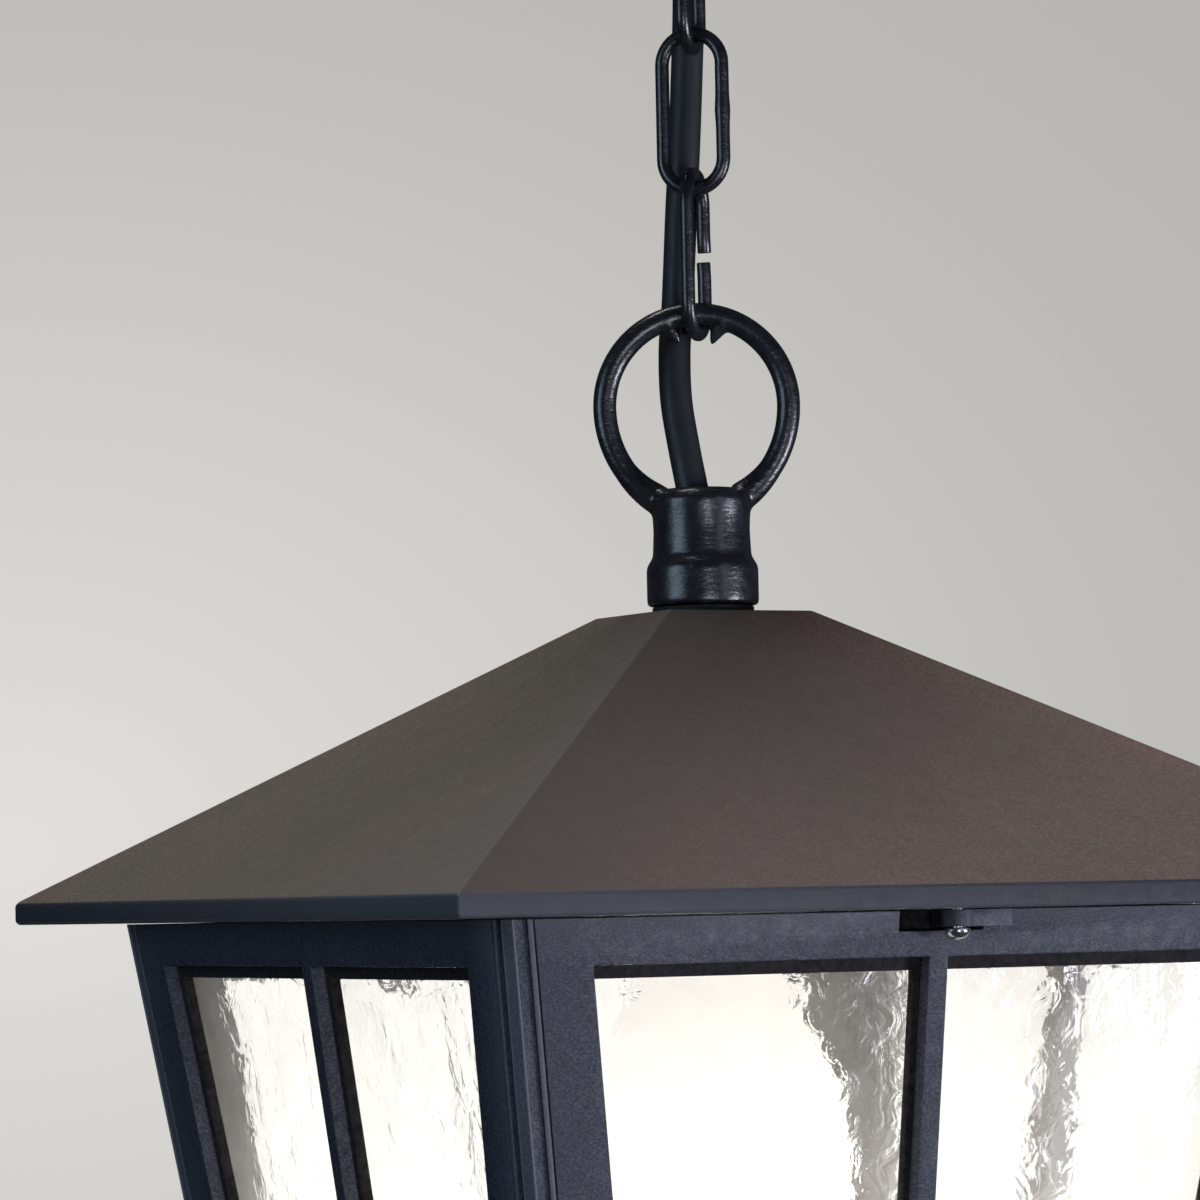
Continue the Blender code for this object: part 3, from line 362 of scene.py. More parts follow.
def plated_steel():
    """Bright plated steel with fine scratches."""
    s = Shader("plated_steel", metallic=1.0)
    s.set("Base Color", s.ramp(s.noise(500, 4), (0.3, (0.46, 0.47, 0.49)), (0.7, (0.66, 0.67, 0.69))))
    s.set("Roughness", s.ramp(s.noise(900, 4, stretch=(1, 6, 1)), (0.3, 0.14), (0.7, 0.34)))
    s.bump(s.noise(1500, 2, stretch=(1, 8, 1)), 0.15, 0.0001)
    return s.material


def brass():
    """Drawn brass, slightly tarnished."""
    s = Shader("brass", metallic=1.0)
    s.set("Base Color", s.ramp(s.noise(240, 5), (0.3, (0.48, 0.34, 0.13)), (0.7, (0.76, 0.60, 0.28))))
    s.set("Roughness", s.ramp(s.noise(600, 4), (0.3, 0.22), (0.7, 0.42)))
    s.bump(s.noise(1200, 2), 0.12, 0.0001)
    return s.material


def moulded(name, dark, light, rough):
    """Moulded plastic, rubber or glaze: two close tones with a fine grain."""
    s = Shader(name)
    s.set("Base Color", s.ramp(s.noise(380, 4), (0.3, dark), (0.7, light)))
    s.set("Roughness", s.ramp(s.noise(900, 3), (0.3, rough - 0.06), (0.7, rough + 0.08)))
    s.bump(s.noise(2200, 2), 0.2, 0.00008)
    return s.material


def flex_sheath():
    """Black rubber sheath with faint drawing lines along it and a dusty bloom."""
    s = Shader("flex_sheath")
    s.set("Base Color", s.ramp(s.noise(300, 5, 0.6, stretch=(1, 1, 0.2)), (0.3, (0.012, 0.016, 0.019)),
                               (0.7, (0.026, 0.032, 0.036))))
    s.set("Roughness", s.ramp(s.noise(1200, 3, stretch=(1, 1, 0.1)), (0.3, 0.42), (0.7, 0.58)))
    s.bump(s.noise(2400, 2, stretch=(1, 1, 0.06)), 0.25, 0.0001)
    return s.material


def water_glass():
    """Clear rippled glass that scatters a little light. Its broad waves are in the panes' meshes."""
    s = Shader("water_glass", Transmission_Weight=1.0, IOR=1.45)
    s.set("Base Color", s.ramp(s.noise(40, 3), (0.3, (0.985, 0.98, 0.97)), (0.7, (1.0, 0.995, 0.99))))
    s.set("Roughness", s.ramp(s.noise(180, 3), (0.35, 0.0), (0.75, 0.03)))
    s.bump(s.noise(170, 3, 0.5, distortion=1.1), 0.24, 0.0006)
    milk = s.nodes.new("ShaderNodeBsdfTranslucent")
    milk.inputs["Color"].default_value = (1.0, 0.985, 0.96, 1)
    blend = s.nodes.new("ShaderNodeMixShader")
    amount = s.ramp(s.noise(70, 4, 0.6), (0.25, 0.10), (0.75, 0.20))
    s.links.new(amount, blend.inputs[0])
    s.links.new(s.surface.outputs[0], blend.inputs[1])
    s.links.new(milk.outputs[0], blend.inputs[2])
    s.links.new(blend.outputs[0], s.output.inputs["Surface"])
    return s.material


def lamp_glass():
    """The lit lamp: pearl glass that glows warm white."""
    s = Shader("lamp_glass", roughness=0.35, Emission_Strength=0.95)
    s.set("Base Color", s.ramp(s.noise(120, 3), (0.3, (0.96, 0.92, 0.85)), (0.7, (1.0, 0.98, 0.94))))
    s.set("Emission Color", s.ramp(s.noise(30, 2), (0.3, (1.0, 0.93, 0.84)), (0.7, (1.0, 0.97, 0.91))))
    return s.material


# Mesh helpers


def add_piece(name, mesh, material, body, replaces=(), smooth=30):
    """Show a mesh as a piece that rides on a body."""
    obj = bpy.data.objects.new(name, mesh)
    show(obj)
    mesh.materials.clear()
    mesh.materials.append(material)
    mesh.shade_smooth()
    mesh.set_sharp_from_angle(angle=radians(smooth))
    if replaces:
        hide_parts(*replaces)
    if body:
        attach(obj, body)
    return obj


def mesh_from(bm, name):
    """Finish a bmesh with outward normals as a mesh."""
    bmesh.ops.recalc_face_normals(bm, faces=bm.faces)
    mesh = bpy.data.meshes.new(name)
    bm.to_mesh(mesh)
    bm.free()
    return mesh


def modified(mesh, *modifiers):
    """A mesh with modifiers applied: each is a type and its settings."""
    blank = bpy.data.objects.new(mesh.name, mesh)
    show(blank)
    for kind, settings in modifiers:
        modifier = blank.modifiers.new(kind, kind)
        for key, value in settings.items():
            setattr(modifier, key, value)
    graph = bpy.context.evaluated_depsgraph_get()
    result = bpy.data.meshes.new_from_object(blank.evaluated_get(graph))
    result.name = mesh.name
    bpy.data.objects.remove(blank, do_unlink=True)
    return result


def rounded(mesh, width, segments=2, angle=30):
    """A mesh with its sharp edges rounded."""
    settings = {"width": width, "segments": segments, "limit_method": "ANGLE", "angle_limit": radians(angle)}
    return modified(mesh, ("BEVEL", settings))


def combined(mesh, others, operation):
    """A mesh joined with others, or cut by them, exactly."""
    for other in others:
        tool = bpy.data.objects.new("tool", other)
        show(tool)
        mesh = modified(mesh, ("BOOLEAN", {"operation": operation, "object": tool, "solver": "EXACT"}))
        bpy.data.objects.remove(tool, do_unlink=True)
    return mesh


def box_mesh(size, centre):
    """A box of a size about a centre."""
    bm = bmesh.new()
    bmesh.ops.create_cube(bm, size=1)
    bmesh.ops.scale(bm, verts=bm.verts, vec=size)
    bmesh.ops.translate(bm, verts=bm.verts, vec=centre)
    return mesh_from(bm, "box")


def cylinder_mesh(radius, depth, centre, turn=Matrix(), segments=48, top_radius=None):
    """A cylinder or cone about a centre, turned from the Z axis."""
    bm = bmesh.new()
    far = radius if top_radius is None else top_radius
    bmesh.ops.create_cone(bm, cap_ends=True, segments=segments, radius1=radius, radius2=far, depth=depth,
                          matrix=Matrix.Translation(centre) @ turn)
    return mesh_from(bm, "cylinder")


def turned_mesh(name, profile, steps=72, closed=False):
    """Turn a profile of (radius, z) points about Z. Points on the axis are shared."""
    bm = bmesh.new()
    rings = []
    for radius, z in profile:
        if radius < 1e-7:
            rings.append([bm.verts.new((0, 0, z))] * steps)
        else:
            rings.append([
                bm.verts.new((radius * cos(tau * k / steps), radius * sin(tau * k / steps), z))
                for k in range(steps)
            ])
    pairs = list(zip(rings, rings[1:]))
    if closed:
        pairs.append((rings[-1], rings[0]))
    for upper, lower in pairs:
        for k in range(steps):
            around = (upper[k], upper[(k + 1) % steps], lower[(k + 1) % steps], lower[k])
            unique = list(dict.fromkeys(around))
            if len(unique) > 2:
                bm.faces.new(unique)
    return mesh_from(bm, name)


def square_mesh(name, profile):
    """A square shape from a profile of half widths and heights, its faces square to X and Y."""
    mesh = turned_mesh(name, [(half * sqrt(2), z) for half, z in profile], steps=4)
    mesh.transform(Matrix.Rotation(radians(45), 4, "Z"))
    return mesh


def tube_mesh(name, path, radii, sides=20, cyclic=False):
    """A round tube along a path, with a radius at each point and rings that don't twist."""
    count = len(path)
    bm = bmesh.new()
    rings = []
    normal = None
    for index, centre in enumerate(path):
        before = path[(index - 1) % count] if cyclic or index else path[0]
        after = path[(index + 1) % count] if cyclic or index < count - 1 else path[-1]
        tangent = (after - before).normalized()
        if normal is None:
            along_x = abs(tangent.x) > 0.999
            normal = tangent.orthogonal() if along_x else tangent.cross(Vector((1, 0, 0)))
            normal.normalize()
        normal = (normal - tangent * normal.dot(tangent)).normalized()
        side = tangent.cross(normal)
        rings.append([
            bm.verts.new(
                centre + (normal * cos(tau * k / sides) + side * sin(tau * k / sides)) * radii[index]
            ) for k in range(sides)
        ])
    pairs = list(zip(rings, rings[1:]))
    if cyclic:
        pairs.append((rings[-1], rings[0]))
    for near, far in pairs:
        for k in range(sides):
            bm.faces.new((near[k], near[(k + 1) % sides], far[(k + 1) % sides], far[k]))
    if not cyclic:
        bm.faces.new(rings[0])
        bm.faces.new(rings[-1])
    return mesh_from(bm, name)


def extrude(bm, move):
    """Extrude all of a bmesh's faces by a move."""
    grown = bmesh.ops.extrude_face_region(bm, geom=list(bm.faces))
    moved = [item for item in grown["geom"] if isinstance(item, bmesh.types.BMVert)]
    bmesh.ops.translate(bm, verts=moved, vec=move)


def prism_mesh(name, outline, low, high, lean=(0, 0)):
    """Extrude an XY outline from z=low to z=high; the top is moved sideways by lean."""
    bm = bmesh.new()
    bm.faces.new([bm.verts.new((x, y, low)) for x, y in outline])
    extrude(bm, (lean[0], lean[1], high - low))
    return mesh_from(bm, name)


def turned_to(mesh, degrees):
    """A copy of a front-side mesh turned to another side."""
    copy = mesh.copy()
    copy.transform(Matrix.Rotation(radians(degrees), 4, "Z"))
    return copy


# Roof


def roof_mesh():
    """The hollow roof with softened hips, eaves and fascia."""
    slope = (ROOF_TOP_Z - EAVES_Z) / (EAVES_HALF - ROOF_FLAT_HALF)
    drop = ROOF_SKIN * sqrt(1 + slope ** 2)
    wall = EAVES_HALF - ROOF_SKIN
    soffit_top = CAGE_TOP_Z + ROOF_SKIN
    under_flat = ROOF_TOP_Z - ROOF_SKIN
    profile = [
        (ROOF_HOLE, ROOF_TOP_Z), (ROOF_FLAT_HALF, ROOF_TOP_Z), (EAVES_HALF - 0.7 * MM, EAVES_Z + 0.42 * MM),
        (EAVES_HALF, EAVES_Z - 0.3 * MM), (EAVES_HALF, CAGE_TOP_Z + 0.6 * MM),
        (EAVES_HALF - 0.6 * MM, CAGE_TOP_Z), (SOFFIT_HALF, CAGE_TOP_Z),
        (SOFFIT_HALF, soffit_top), (wall, soffit_top),
        (wall, EAVES_Z + slope * ROOF_SKIN - drop),
        (EAVES_HALF - (under_flat - EAVES_Z + drop) / slope, under_flat),
        (ROOF_HOLE, under_flat),
    ]
    mesh = square_mesh("roof", profile)
    bm = bmesh.new()
    bm.from_mesh(mesh)
    open_edges = [edge for edge in bm.edges if edge.is_boundary]
    bmesh.ops.bridge_loops(bm, edges=open_edges)
    bmesh.ops.recalc_face_normals(bm, faces=bm.faces)
    bm.to_mesh(mesh)
    bm.free()
    return rounded(mesh, 0.45 * MM, 3, 18)


def make_roof(roof_material, shaded_edge_paint):
    """The roof, with the frame's blue paint on its fascia and underside, in a darker, less shiny copy that is
    painted shade.
    """
    roof = add_piece("roof", roof_mesh(), roof_material, None, ("roof_shell",), smooth=14)
    roof.data.materials.append(shaded_edge_paint)
    # The fascia and the downward faces take the darker copy: painted shade.
    for face in roof.data.polygons:
        if face.center.z < EAVES_Z - 0.05 * MM or face.normal.z < -0.2:
            face.material_index = 1
    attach(roof, "head")


# Cage


def panel_plate(inset, window_inset, bar, window_top, window_bottom, outer, inner):
    """A flat plate of the front side with two windows, from one depth behind the sloping face to another."""
    top, bottom = CAGE_TOP_Z - GAP, CAGE_BOTTOM_Z
    rows = [top, window_top, window_bottom, bottom]
    bm = bmesh.new()
    grid = []
    for z in rows:
        w = half_width(z)
        columns = [-w + inset, -w + window_inset, -bar / 2, bar / 2, w - window_inset, w - inset]
        grid.append([bm.verts.new((x, outer - w, z)) for x in columns])
    for row in range(3):
        for column in range(5):
            if row == 1 and column in (1, 3):
                continue
            bm.faces.new((grid[row][column], grid[row][column + 1],
                          grid[row + 1][column + 1], grid[row + 1][column]))
    extrude(bm, (0, inner - outer, 0))
    return mesh_from(bm, "side_frame")


def side_frame_mesh():
    """One side's casting: a face plate with two lights, and behind it the lip that the glass lies against."""
    window_top = CAGE_TOP_Z - GAP - TOP_FACE
    window_bottom = CAGE_BOTTOM_Z + SILL
    inset = STRIP + GAP
    face = panel_plate(inset, STILE, BAR, window_top, window_bottom, 0, PLATE_DEPTH)
    lip = panel_plate(inset, STILE + LIP_SIDE, BAR + 2 * LIP_SIDE, window_top - LIP_TOP,
                      window_bottom + LIP_SIDE, PLATE_DEPTH - 0.4 * MM, FRAME_DEPTH)
    return combined(face, [lip], "UNION")


def make_cage_frame(material, recess):
    """Four side castings and the four grooved corner strips between them."""
    plain = side_frame_mesh()
    for name, degrees in SIDES:
        mesh = plain.copy()
        if name == "front":
            slot_left, slot_right = -9.4 * MM, 10 * MM
            slot_y = corners("roof_catch")[0].y + 8 * MM
            slot = box_mesh((slot_right - slot_left, 7.4 * MM, 8 * MM),
                            ((slot_left + slot_right) / 2, slot_y, CAGE_TOP_Z - GAP))
            mesh = combined(mesh, [slot], "DIFFERENCE")
        mesh = rounded(mesh, 0.5 * MM, 2, 40)
        replaced = (f"top_rail_{name}", f"bottom_rail_{name}", f"glazing_bar_{name}")
        # Faces down in the rebates take the nearly black painted shade.
        painted_shade_faces = [face.center.y + half_width(face.center.z) > PLATE_DEPTH - 0.9 * MM for face in mesh.polygons]
        piece = add_piece(f"side_frame_{name}", turned_to(mesh, degrees), material, "cage",
                          replaced)
        piece.data.materials.append(recess)
        piece.data.polygons.foreach_set("material_index", [int(flag) for flag in painted_shade_faces])
    w = half_width(CAGE_BOTTOM_Z)
    out = half_width(CAGE_TOP_Z - GAP) - w
    groove, start, end, chamfer = 0.7 * MM, 2.0 * MM, 4.8 * MM, 1.6 * MM
    half = [(chamfer, 0), (start, 0), (start, groove), (end, groove), (end, 0), (STRIP, 0), (STRIP, STRIP)]
    outline = half + [(y, x) for x, y in reversed(half[:-1])]
    mesh = prism_mesh("corner_strip", [(x - w, y - w) for x, y in outline],
                      CAGE_BOTTOM_Z, CAGE_TOP_Z - GAP, (-out, -out))
    mesh = rounded(mesh, 0.25 * MM, 2, 30)
    for name, degrees in CORNERS:
        add_piece(f"corner_strip_{name}", turned_to(mesh, degrees), material, "cage",
                  (f"corner_post_{name}",))


def wave(x, z, seed):
    """Height of the rolled glass's waves: broad lens-like swells with finer ripples on them."""
    broad = noise.noise(Vector((x / 0.030, z / 0.042, seed)))
    middle = noise.noise(Vector((x / 0.0125, z / 0.016, seed + 7)))
    fine = noise.noise(Vector((x / 0.0055, z / 0.0065, seed + 19)))
    return broad * 0.55 + middle * 0.26 + fine * 0.09


def pane_mesh(seed):
    """A pane of water glass, its two faces waved differently."""
    top, bottom = CAGE_TOP_Z - GAP - 3 * MM, CAGE_BOTTOM_Z + 3 * MM
    inset = FRAME_DEPTH + PANE + 1.2 * MM
    columns, rows = 96, 104
    bm = bmesh.new()
    skins = []
    for depth, shift in ((FRAME_DEPTH + GAP, 0), (FRAME_DEPTH + GAP + PANE, 31)):
        skin = []
        for row in range(rows + 1):
            z = top + (bottom - top) * row / rows
            half = half_width(z) - inset
            line = []
            for column in range(columns + 1):
                x = -half + 2 * half * column / columns
                edge = min(min(row, rows - row) / rows, min(column, columns - column) / columns)
                flat = min(1.0, 12 * edge)
                swell = wave(x, z, seed + shift) * PANE_WAVE * flat
                inward = abs(swell) if shift == 0 else -abs(swell)
                line.append(bm.verts.new((x, depth - half_width(z) + inward, z)))
            skin.append(line)
        skins.append(skin)
    for skin in skins:
        for row in range(rows):
            for column in range(columns):
                bm.faces.new((skin[row][column], skin[row][column + 1],
                              skin[row + 1][column + 1], skin[row + 1][column]))
    rim = [(0, column) for column in range(columns)] + [(row, columns) for row in range(rows)]
    rim += [(rows, column) for column in range(columns, 0, -1)] + [(row, 0) for row in range(rows, 0, -1)]
    for (r1, c1), (r2, c2) in zip(rim, rim[1:] + rim[:1]):
        bm.faces.new((skins[0][r1][c1], skins[0][r2][c2], skins[1][r2][c2], skins[1][r1][c1]))
    return mesh_from(bm, "pane")


def make_panes(material):
    """The four panes."""
    for index, (name, degrees) in enumerate(SIDES):
        mesh = turned_to(pane_mesh(index * 53.7 + 3.1), degrees)
        add_piece(f"pane_{name}", mesh, material, "cage", (f"glass_pane_{name}",), smooth=60)


def make_base(material, screw_material):
    """The stepped base with softened edges, and its four slotted screws."""
    top, low = BASE_HIGH.z, BASE_LOW.z
    flange, step = BASE_HIGH.x, 60 * MM
    flange_low = top - 4.8 * MM
    inner = half_width(CAGE_BOTTOM_Z) - 18 * MM
    profile = [
        (0, low + 3 * MM), (inner, low + 3 * MM), (inner, top), (flange - 0.5 * MM, top),
        (flange, top - 0.5 * MM), (flange, flange_low + 0.5 * MM), (flange - 0.5 * MM, flange_low),
        (step, flange_low), (step - 3 * MM, low), (0, low),
    ]
    mesh = square_mesh("base", profile)
    holes = []
    for name, _ in CORNERS:
        holes.append(cylinder_mesh(2.1 * MM, 30 * MM, centre_of(f"base_screw_{name}"), segments=24))
        make_screw(f"screw_{name}", screw_material, "cage", f"base_screw_{name}",
                   3.2 * MM, 1.6 * MM, 1.8 * MM, (0, 0, -1), 30)
    mesh = rounded(combined(mesh, holes, "DIFFERENCE"), 0.4 * MM, 2, 30)
    add_piece("base", mesh, material, "cage", ("base_plate",))


def make_screw(name, material, body, node, head_radius, head_height, shank_radius, outward, slot_degrees):
    """A domed slotted screw in place of a plain one; outward is where its head points."""
    low, high = corners(node)
    out = Vector(outward)
    middle = (low + high) / 2
    length = abs((high - low).dot(out))
    h = head_height
    profile = [
        (0, h), (head_radius * 0.45, h * 0.97), (head_radius * 0.8, h * 0.78), (head_radius * 0.96, h * 0.45),
        (head_radius, h * 0.15), (head_radius * 0.97, 0), (shank_radius, 0), (shank_radius, h - length),
        (0, h - length),
    ]
    mesh = turned_mesh(name, profile, steps=40)
    slot = box_mesh((3 * head_radius, head_radius * 0.28, h), (0, 0, h))
    slot.transform(Matrix.Rotation(radians(slot_degrees), 4, "Z"))
    mesh = combined(mesh, [slot], "DIFFERENCE")
    base = middle + out * (length / 2 - h)
    mesh.transform(Matrix.Translation(base) @ up(1).rotation_difference(out).to_matrix().to_4x4())
    return add_piece(name, mesh, material, body, (node,))


# Catch


def make_catch(material, screw_material):
    """The turn catch with rounded edges and its bright domed pivot screw."""
    low, high = corners("roof_catch")
    screw_low, screw_high = corners("catch_pivot_screw")
    pivot = centre_of("catch_pivot_screw")
    thick = high.z - low.z
    z = (low.z + high.z) / 2
    hub = cylinder_mesh(3.2 * MM, thick, (pivot.x, pivot.y, z))
    tab_length = high.x - pivot.x
    tab = box_mesh((tab_length, 2.4 * MM, thick), (pivot.x + tab_length / 2, pivot.y, z))
    reach = high.y - pivot.y
    tongue = box_mesh((3.2 * MM, reach, thick), (pivot.x, pivot.y + reach / 2, z))
    mesh = combined(hub, [tab, tongue], "UNION")
    pivot_hole = cylinder_mesh(1.5 * MM, 12 * MM, (pivot.x, pivot.y, z), segments=24)
    mesh = combined(mesh, [pivot_hole], "DIFFERENCE")
    add_piece("turn_catch", rounded(mesh, 0.3 * MM, 2, 40), material, "catch", ("roof_catch",))
    top, bottom = screw_high.z, screw_low.z
    head_top = bottom + 2.4 * MM
    profile = [(0, top), (1.2 * MM, top), (1.2 * MM, head_top), (2.5 * MM, head_top)]
    for a in range(0, 90, 15):
        profile.append((2.6 * MM * cos(radians(a)), head_top - 0.3 * MM - 2.1 * MM * sin(radians(a))))
    profile.append((0, bottom))
    screw = turned_mesh("pivot_screw", profile, steps=40)
    screw.transform(Matrix.Translation((pivot.x, pivot.y, 0)))
    add_piece("pivot_screw", screw, screw_material, "head", ("catch_pivot_screw",), smooth=50)


# Ring and collar


def make_hanging_loop(material):
    """The ring, cast in one with its stepped and waisted collar, and bored for the flex."""
    top, step, low = ROOF_TOP_Z + COLLAR_TOP, ROOF_TOP_Z + COLLAR_LOW_TOP, ROOF_TOP_Z + 1.8 * MM
    shank_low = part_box("hanging_loop")[0][2]
    profile = [
        (0, top + 1.5 * MM), (8.4 * MM, top + 1.5 * MM),
        (9.8 * MM, top + 0.9 * MM), (COLLAR_TOP_RADIUS, top - 0.9 * MM),
        (COLLAR_TOP_RADIUS - 0.35 * MM, top - 5 * MM), (COLLAR_TOP_RADIUS - 0.45 * MM, (top + step) / 2),
        (COLLAR_TOP_RADIUS - 0.2 * MM, step + 2.2 * MM), (COLLAR_LOW_RADIUS - 0.15 * MM, step + 0.2 * MM),
        (COLLAR_LOW_RADIUS, step - 0.5 * MM), (COLLAR_LOW_RADIUS, low + 0.5 * MM),
        (COLLAR_LOW_RADIUS - 0.5 * MM, low), (6 * MM, low), (6 * MM, shank_low), (0, shank_low),
    ]
    collar = turned_mesh("loop", profile, steps=96)
    wide = heading_vector(RING_HEADING)
    drift = wide * RING_DRIFT
    centre_z = ROOF_TOP_Z + RING_RISE
    steps = 110
    path = []
    for index in range(steps + 1):
        angle = RING_LOWEST + (pi - 2 * RING_LOWEST) * index / steps
        rise = RING_RADIUS * sin(angle) * (RING_DROOP if angle < 0 or angle > pi else 1)
        path.append(drift + wide * (RING_RADIUS * cos(angle)) + up(centre_z + rise))
    right_end = path[0] + (path[0] - path[1]).normalized() * RING_FOOT
    left_end = path[-1] + (path[-1] - path[-2]).normalized() * RING_FOOT
    path = [right_end] + path + [left_end]
    thick = [RING_WIRE + 0.8 * MM * max(0, 1 - min(k, len(path) - 1 - k) / 9) for k in range(len(path))]
    extras = [tube_mesh("ring", path, thick, sides=32)]
    for side in (-1, 1):
        turn = Matrix.Rotation(RING_HEADING, 4, "Z") @ Matrix.Rotation(radians(side * 26), 4, "Y")
        place = drift + wide * (side * 4.6 * MM) + up(centre_z + RING_RADIUS - 4.2 * MM)
        extras.append(cylinder_mesh(0.5 * MM, 5.4 * MM, place, turn, 24, top_radius=2.5 * MM))
    mesh = combined(collar, extras, "UNION")
    mouth = turned_mesh("mouth", [
        (0, top + 9 * MM), (6.9 * MM, top + 9 * MM), (6.9 * MM, top + 2.6 * MM), (6.3 * MM, top + 1.3 * MM),
        (6.0 * MM, top + 0.6 * MM), (5.2 * MM, top - 2.5 * MM), (BORE, top - 9 * MM),
        (BORE, shank_low - MM), (0, shank_low - MM),
    ], steps=48)
    mesh = combined(mesh, [mouth], "DIFFERENCE")
    mesh = modified(mesh, ("REMESH", {"mode": "VOXEL", "voxel_size": 0.42 * MM, "use_smooth_shade": True}),
                    ("SMOOTH", {"factor": 0.5, "iterations": 14}))
    add_piece("ring_and_collar", mesh, material, "head", ("hanging_loop",), smooth=70)


# Chain


def link_path(heading, top, bottom, arc_steps=22, leg_steps=14):
    """Points round a link: two half circles and two straight legs."""
    wide = heading_vector(heading)
    radius = LINK_HALF_WIDTH
    points = []
    upper, lower = top - radius, bottom + radius
    for centre, start, to_z, side in ((upper, 0, lower, -1), (lower, 180, upper, 1)):
        for step in range(arc_steps):
            angle = radians(start + 180 * step / arc_steps)
            points.append(wide * (radius * cos(angle)) + up(centre + radius * sin(angle)))
        for step in range(leg_steps):
            points.append(wide * (side * radius) + up(centre + (to_z - centre) * step / leg_steps))
    return points


def make_chain(material):
    """The links: round wire with a weld bead on one leg, and the open connector at the bottom."""
    bead_length = 2.2 * MM
    for number, heading in ((1, LINK_HEADING), (2, CROSS_HEADING), (3, LINK_HEADING)):
        low, high = corners(f"chain_link_{number}")
        path = link_path(heading, high.z - LINK_WIRE, low.z + LINK_WIRE)
        bead = heading_vector(heading) * LINK_HALF_WIDTH + up((low.z + high.z) / 2)
        radii = [LINK_WIRE * (1 + 0.13 * exp(-((point - bead).length / bead_length) ** 2)) for point in path]
        mesh = tube_mesh(f"link_{number}", path, radii, cyclic=True)
        add_piece(f"link_{number}_wire", mesh, material, f"link_{number}",
                  (f"chain_link_{number}",), smooth=60)
    low, high = corners("connector_link")
    path = link_path(CROSS_HEADING, high.z - LINK_WIRE, low.z + LINK_WIRE)
    wide = heading_vector(CROSS_HEADING)
    middle = (low.z + high.z) / 2
    gap_half = 1.05 * MM
    leg = wide * LINK_HALF_WIDTH
    kept = [point for point in path
            if not (point.dot(wide) > LINK_HALF_WIDTH * 0.999 and abs(point.z - middle) < 4 * MM)]
    start = min(range(len(kept)), key=lambda k: (kept[k].dot(wide) < LINK_HALF_WIDTH * 0.99,
                                                 abs(kept[k].z - middle - 5 * MM)))
    opened = kept[start:] + kept[:start]
    out = wide * 0.5 * MM
    ends = ([leg + out + up(middle + gap_half)], [leg - out + up(middle - gap_half)])
    route = ends[0] + opened + ends[1]
    mesh = rounded(tube_mesh("connector", route, [LINK_WIRE] * len(route)), 0.25 * MM, 2, 50)
    add_piece("connector_wire", mesh, material, "connector", ("connector_link",), smooth=50)


# Flex


def flex_place(left, behind):
    """A level place beside the axis, left of it and behind it when seen square to the ring."""
    wide = heading_vector(RING_HEADING)
    back = Vector((-wide.y, wide.x, 0))
    return -wide * left + back * behind


def flex_route():
    """The flex's route, from the lampholder up the shank, behind the ring and the chain, to the cover."""
    stations = [
        (0.0, 0.0, -30), (0.0, 0.0, -15), (0.0, 0.0, 0), (0.0, 0.0, 10), (0.5, 0.2, 18), (1.6, 1.1, 26),
        (3.3, 2.8, 36), (4.8, 5.0, 47), (4.9, 7.2, 58), (4.1, 8.4, 67), (3.3, 9.2, 80), (2.7, 9.8, 90),
        (1.8, 10.6, 103), (0.9, 11.9, 119), (0.2, 12.8, 134), (0.0, 13.5, 150), (0.0, 14.1, 167),
        (0.0, 14.6, 184), (0.0, 14.9, 196), (0.0, 15.0, 208), (0.0, 15.0, 217),
    ]
    route = []
    for left, behind, rise in stations:
        place = flex_place(left * MM, behind * MM)
        route.append(Vector((place.x, place.y, ROOF_TOP_Z + rise * MM)))
    low, high = corners("flex_cable")
    route[0].z = low.z
    route[-1].z = high.z
    return route


def smooth_through(route, per_span):
    """Points on a smooth curve that passes through each point of a route."""
    points = []
    for index in range(len(route) - 1):
        before = route[max(index - 1, 0)]
        start = route[index]
        end = route[index + 1]
        after = route[min(index + 2, len(route) - 1)]
        for step in range(per_span):
            t = step / per_span
            points.append(0.5 * (
                2 * start + (end - before) * t + (2 * before - 5 * start + 4 * end - after) * t ** 2
                + (3 * start - before - 3 * end + after) * t ** 3
            ))
    points.append(route[-1])
    return points


def make_flex(material):
    """The flex in five lengths, cut between the chain's joints so that each length spans one of them."""
    path = list(reversed(smooth_through(flex_route(), 12)))
    joints = ("hook_swing", "link_2_swing", "link_3_swing", "connector_swing", "ring_swing")
    pivots = [JOINTS[name]["pos_m"][2] for name in joints]
    cuts = [path[0].z] + [(a + b) / 2 for a, b in zip(pivots, pivots[1:])] + [path[-1].z]
    marks = [min(range(len(path)), key=lambda k: abs(path[k].z - cut)) for cut in cuts]
    lengths = []
    for index, (first, last) in enumerate(zip(marks, marks[1:])):
        stretch = path[first:last + 1]
        radii = [FLEX_RADIUS * (1 + 0.004 * noise.noise(up(point.z / 0.01))) for point in stretch]
        mesh = tube_mesh(f"flex_{index + 1}", stretch, radii, sides=28)
        piece = add_piece(f"flex_{index + 1}", mesh, material, None, ("flex_cable",),
                          smooth=50)
        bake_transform(piece)
        lengths.append((piece, stretch))
    for chosen, others in ((0, (1, 2)), (4, (3,))):
        piece, stretch = lengths[chosen]


# Ceiling fitting


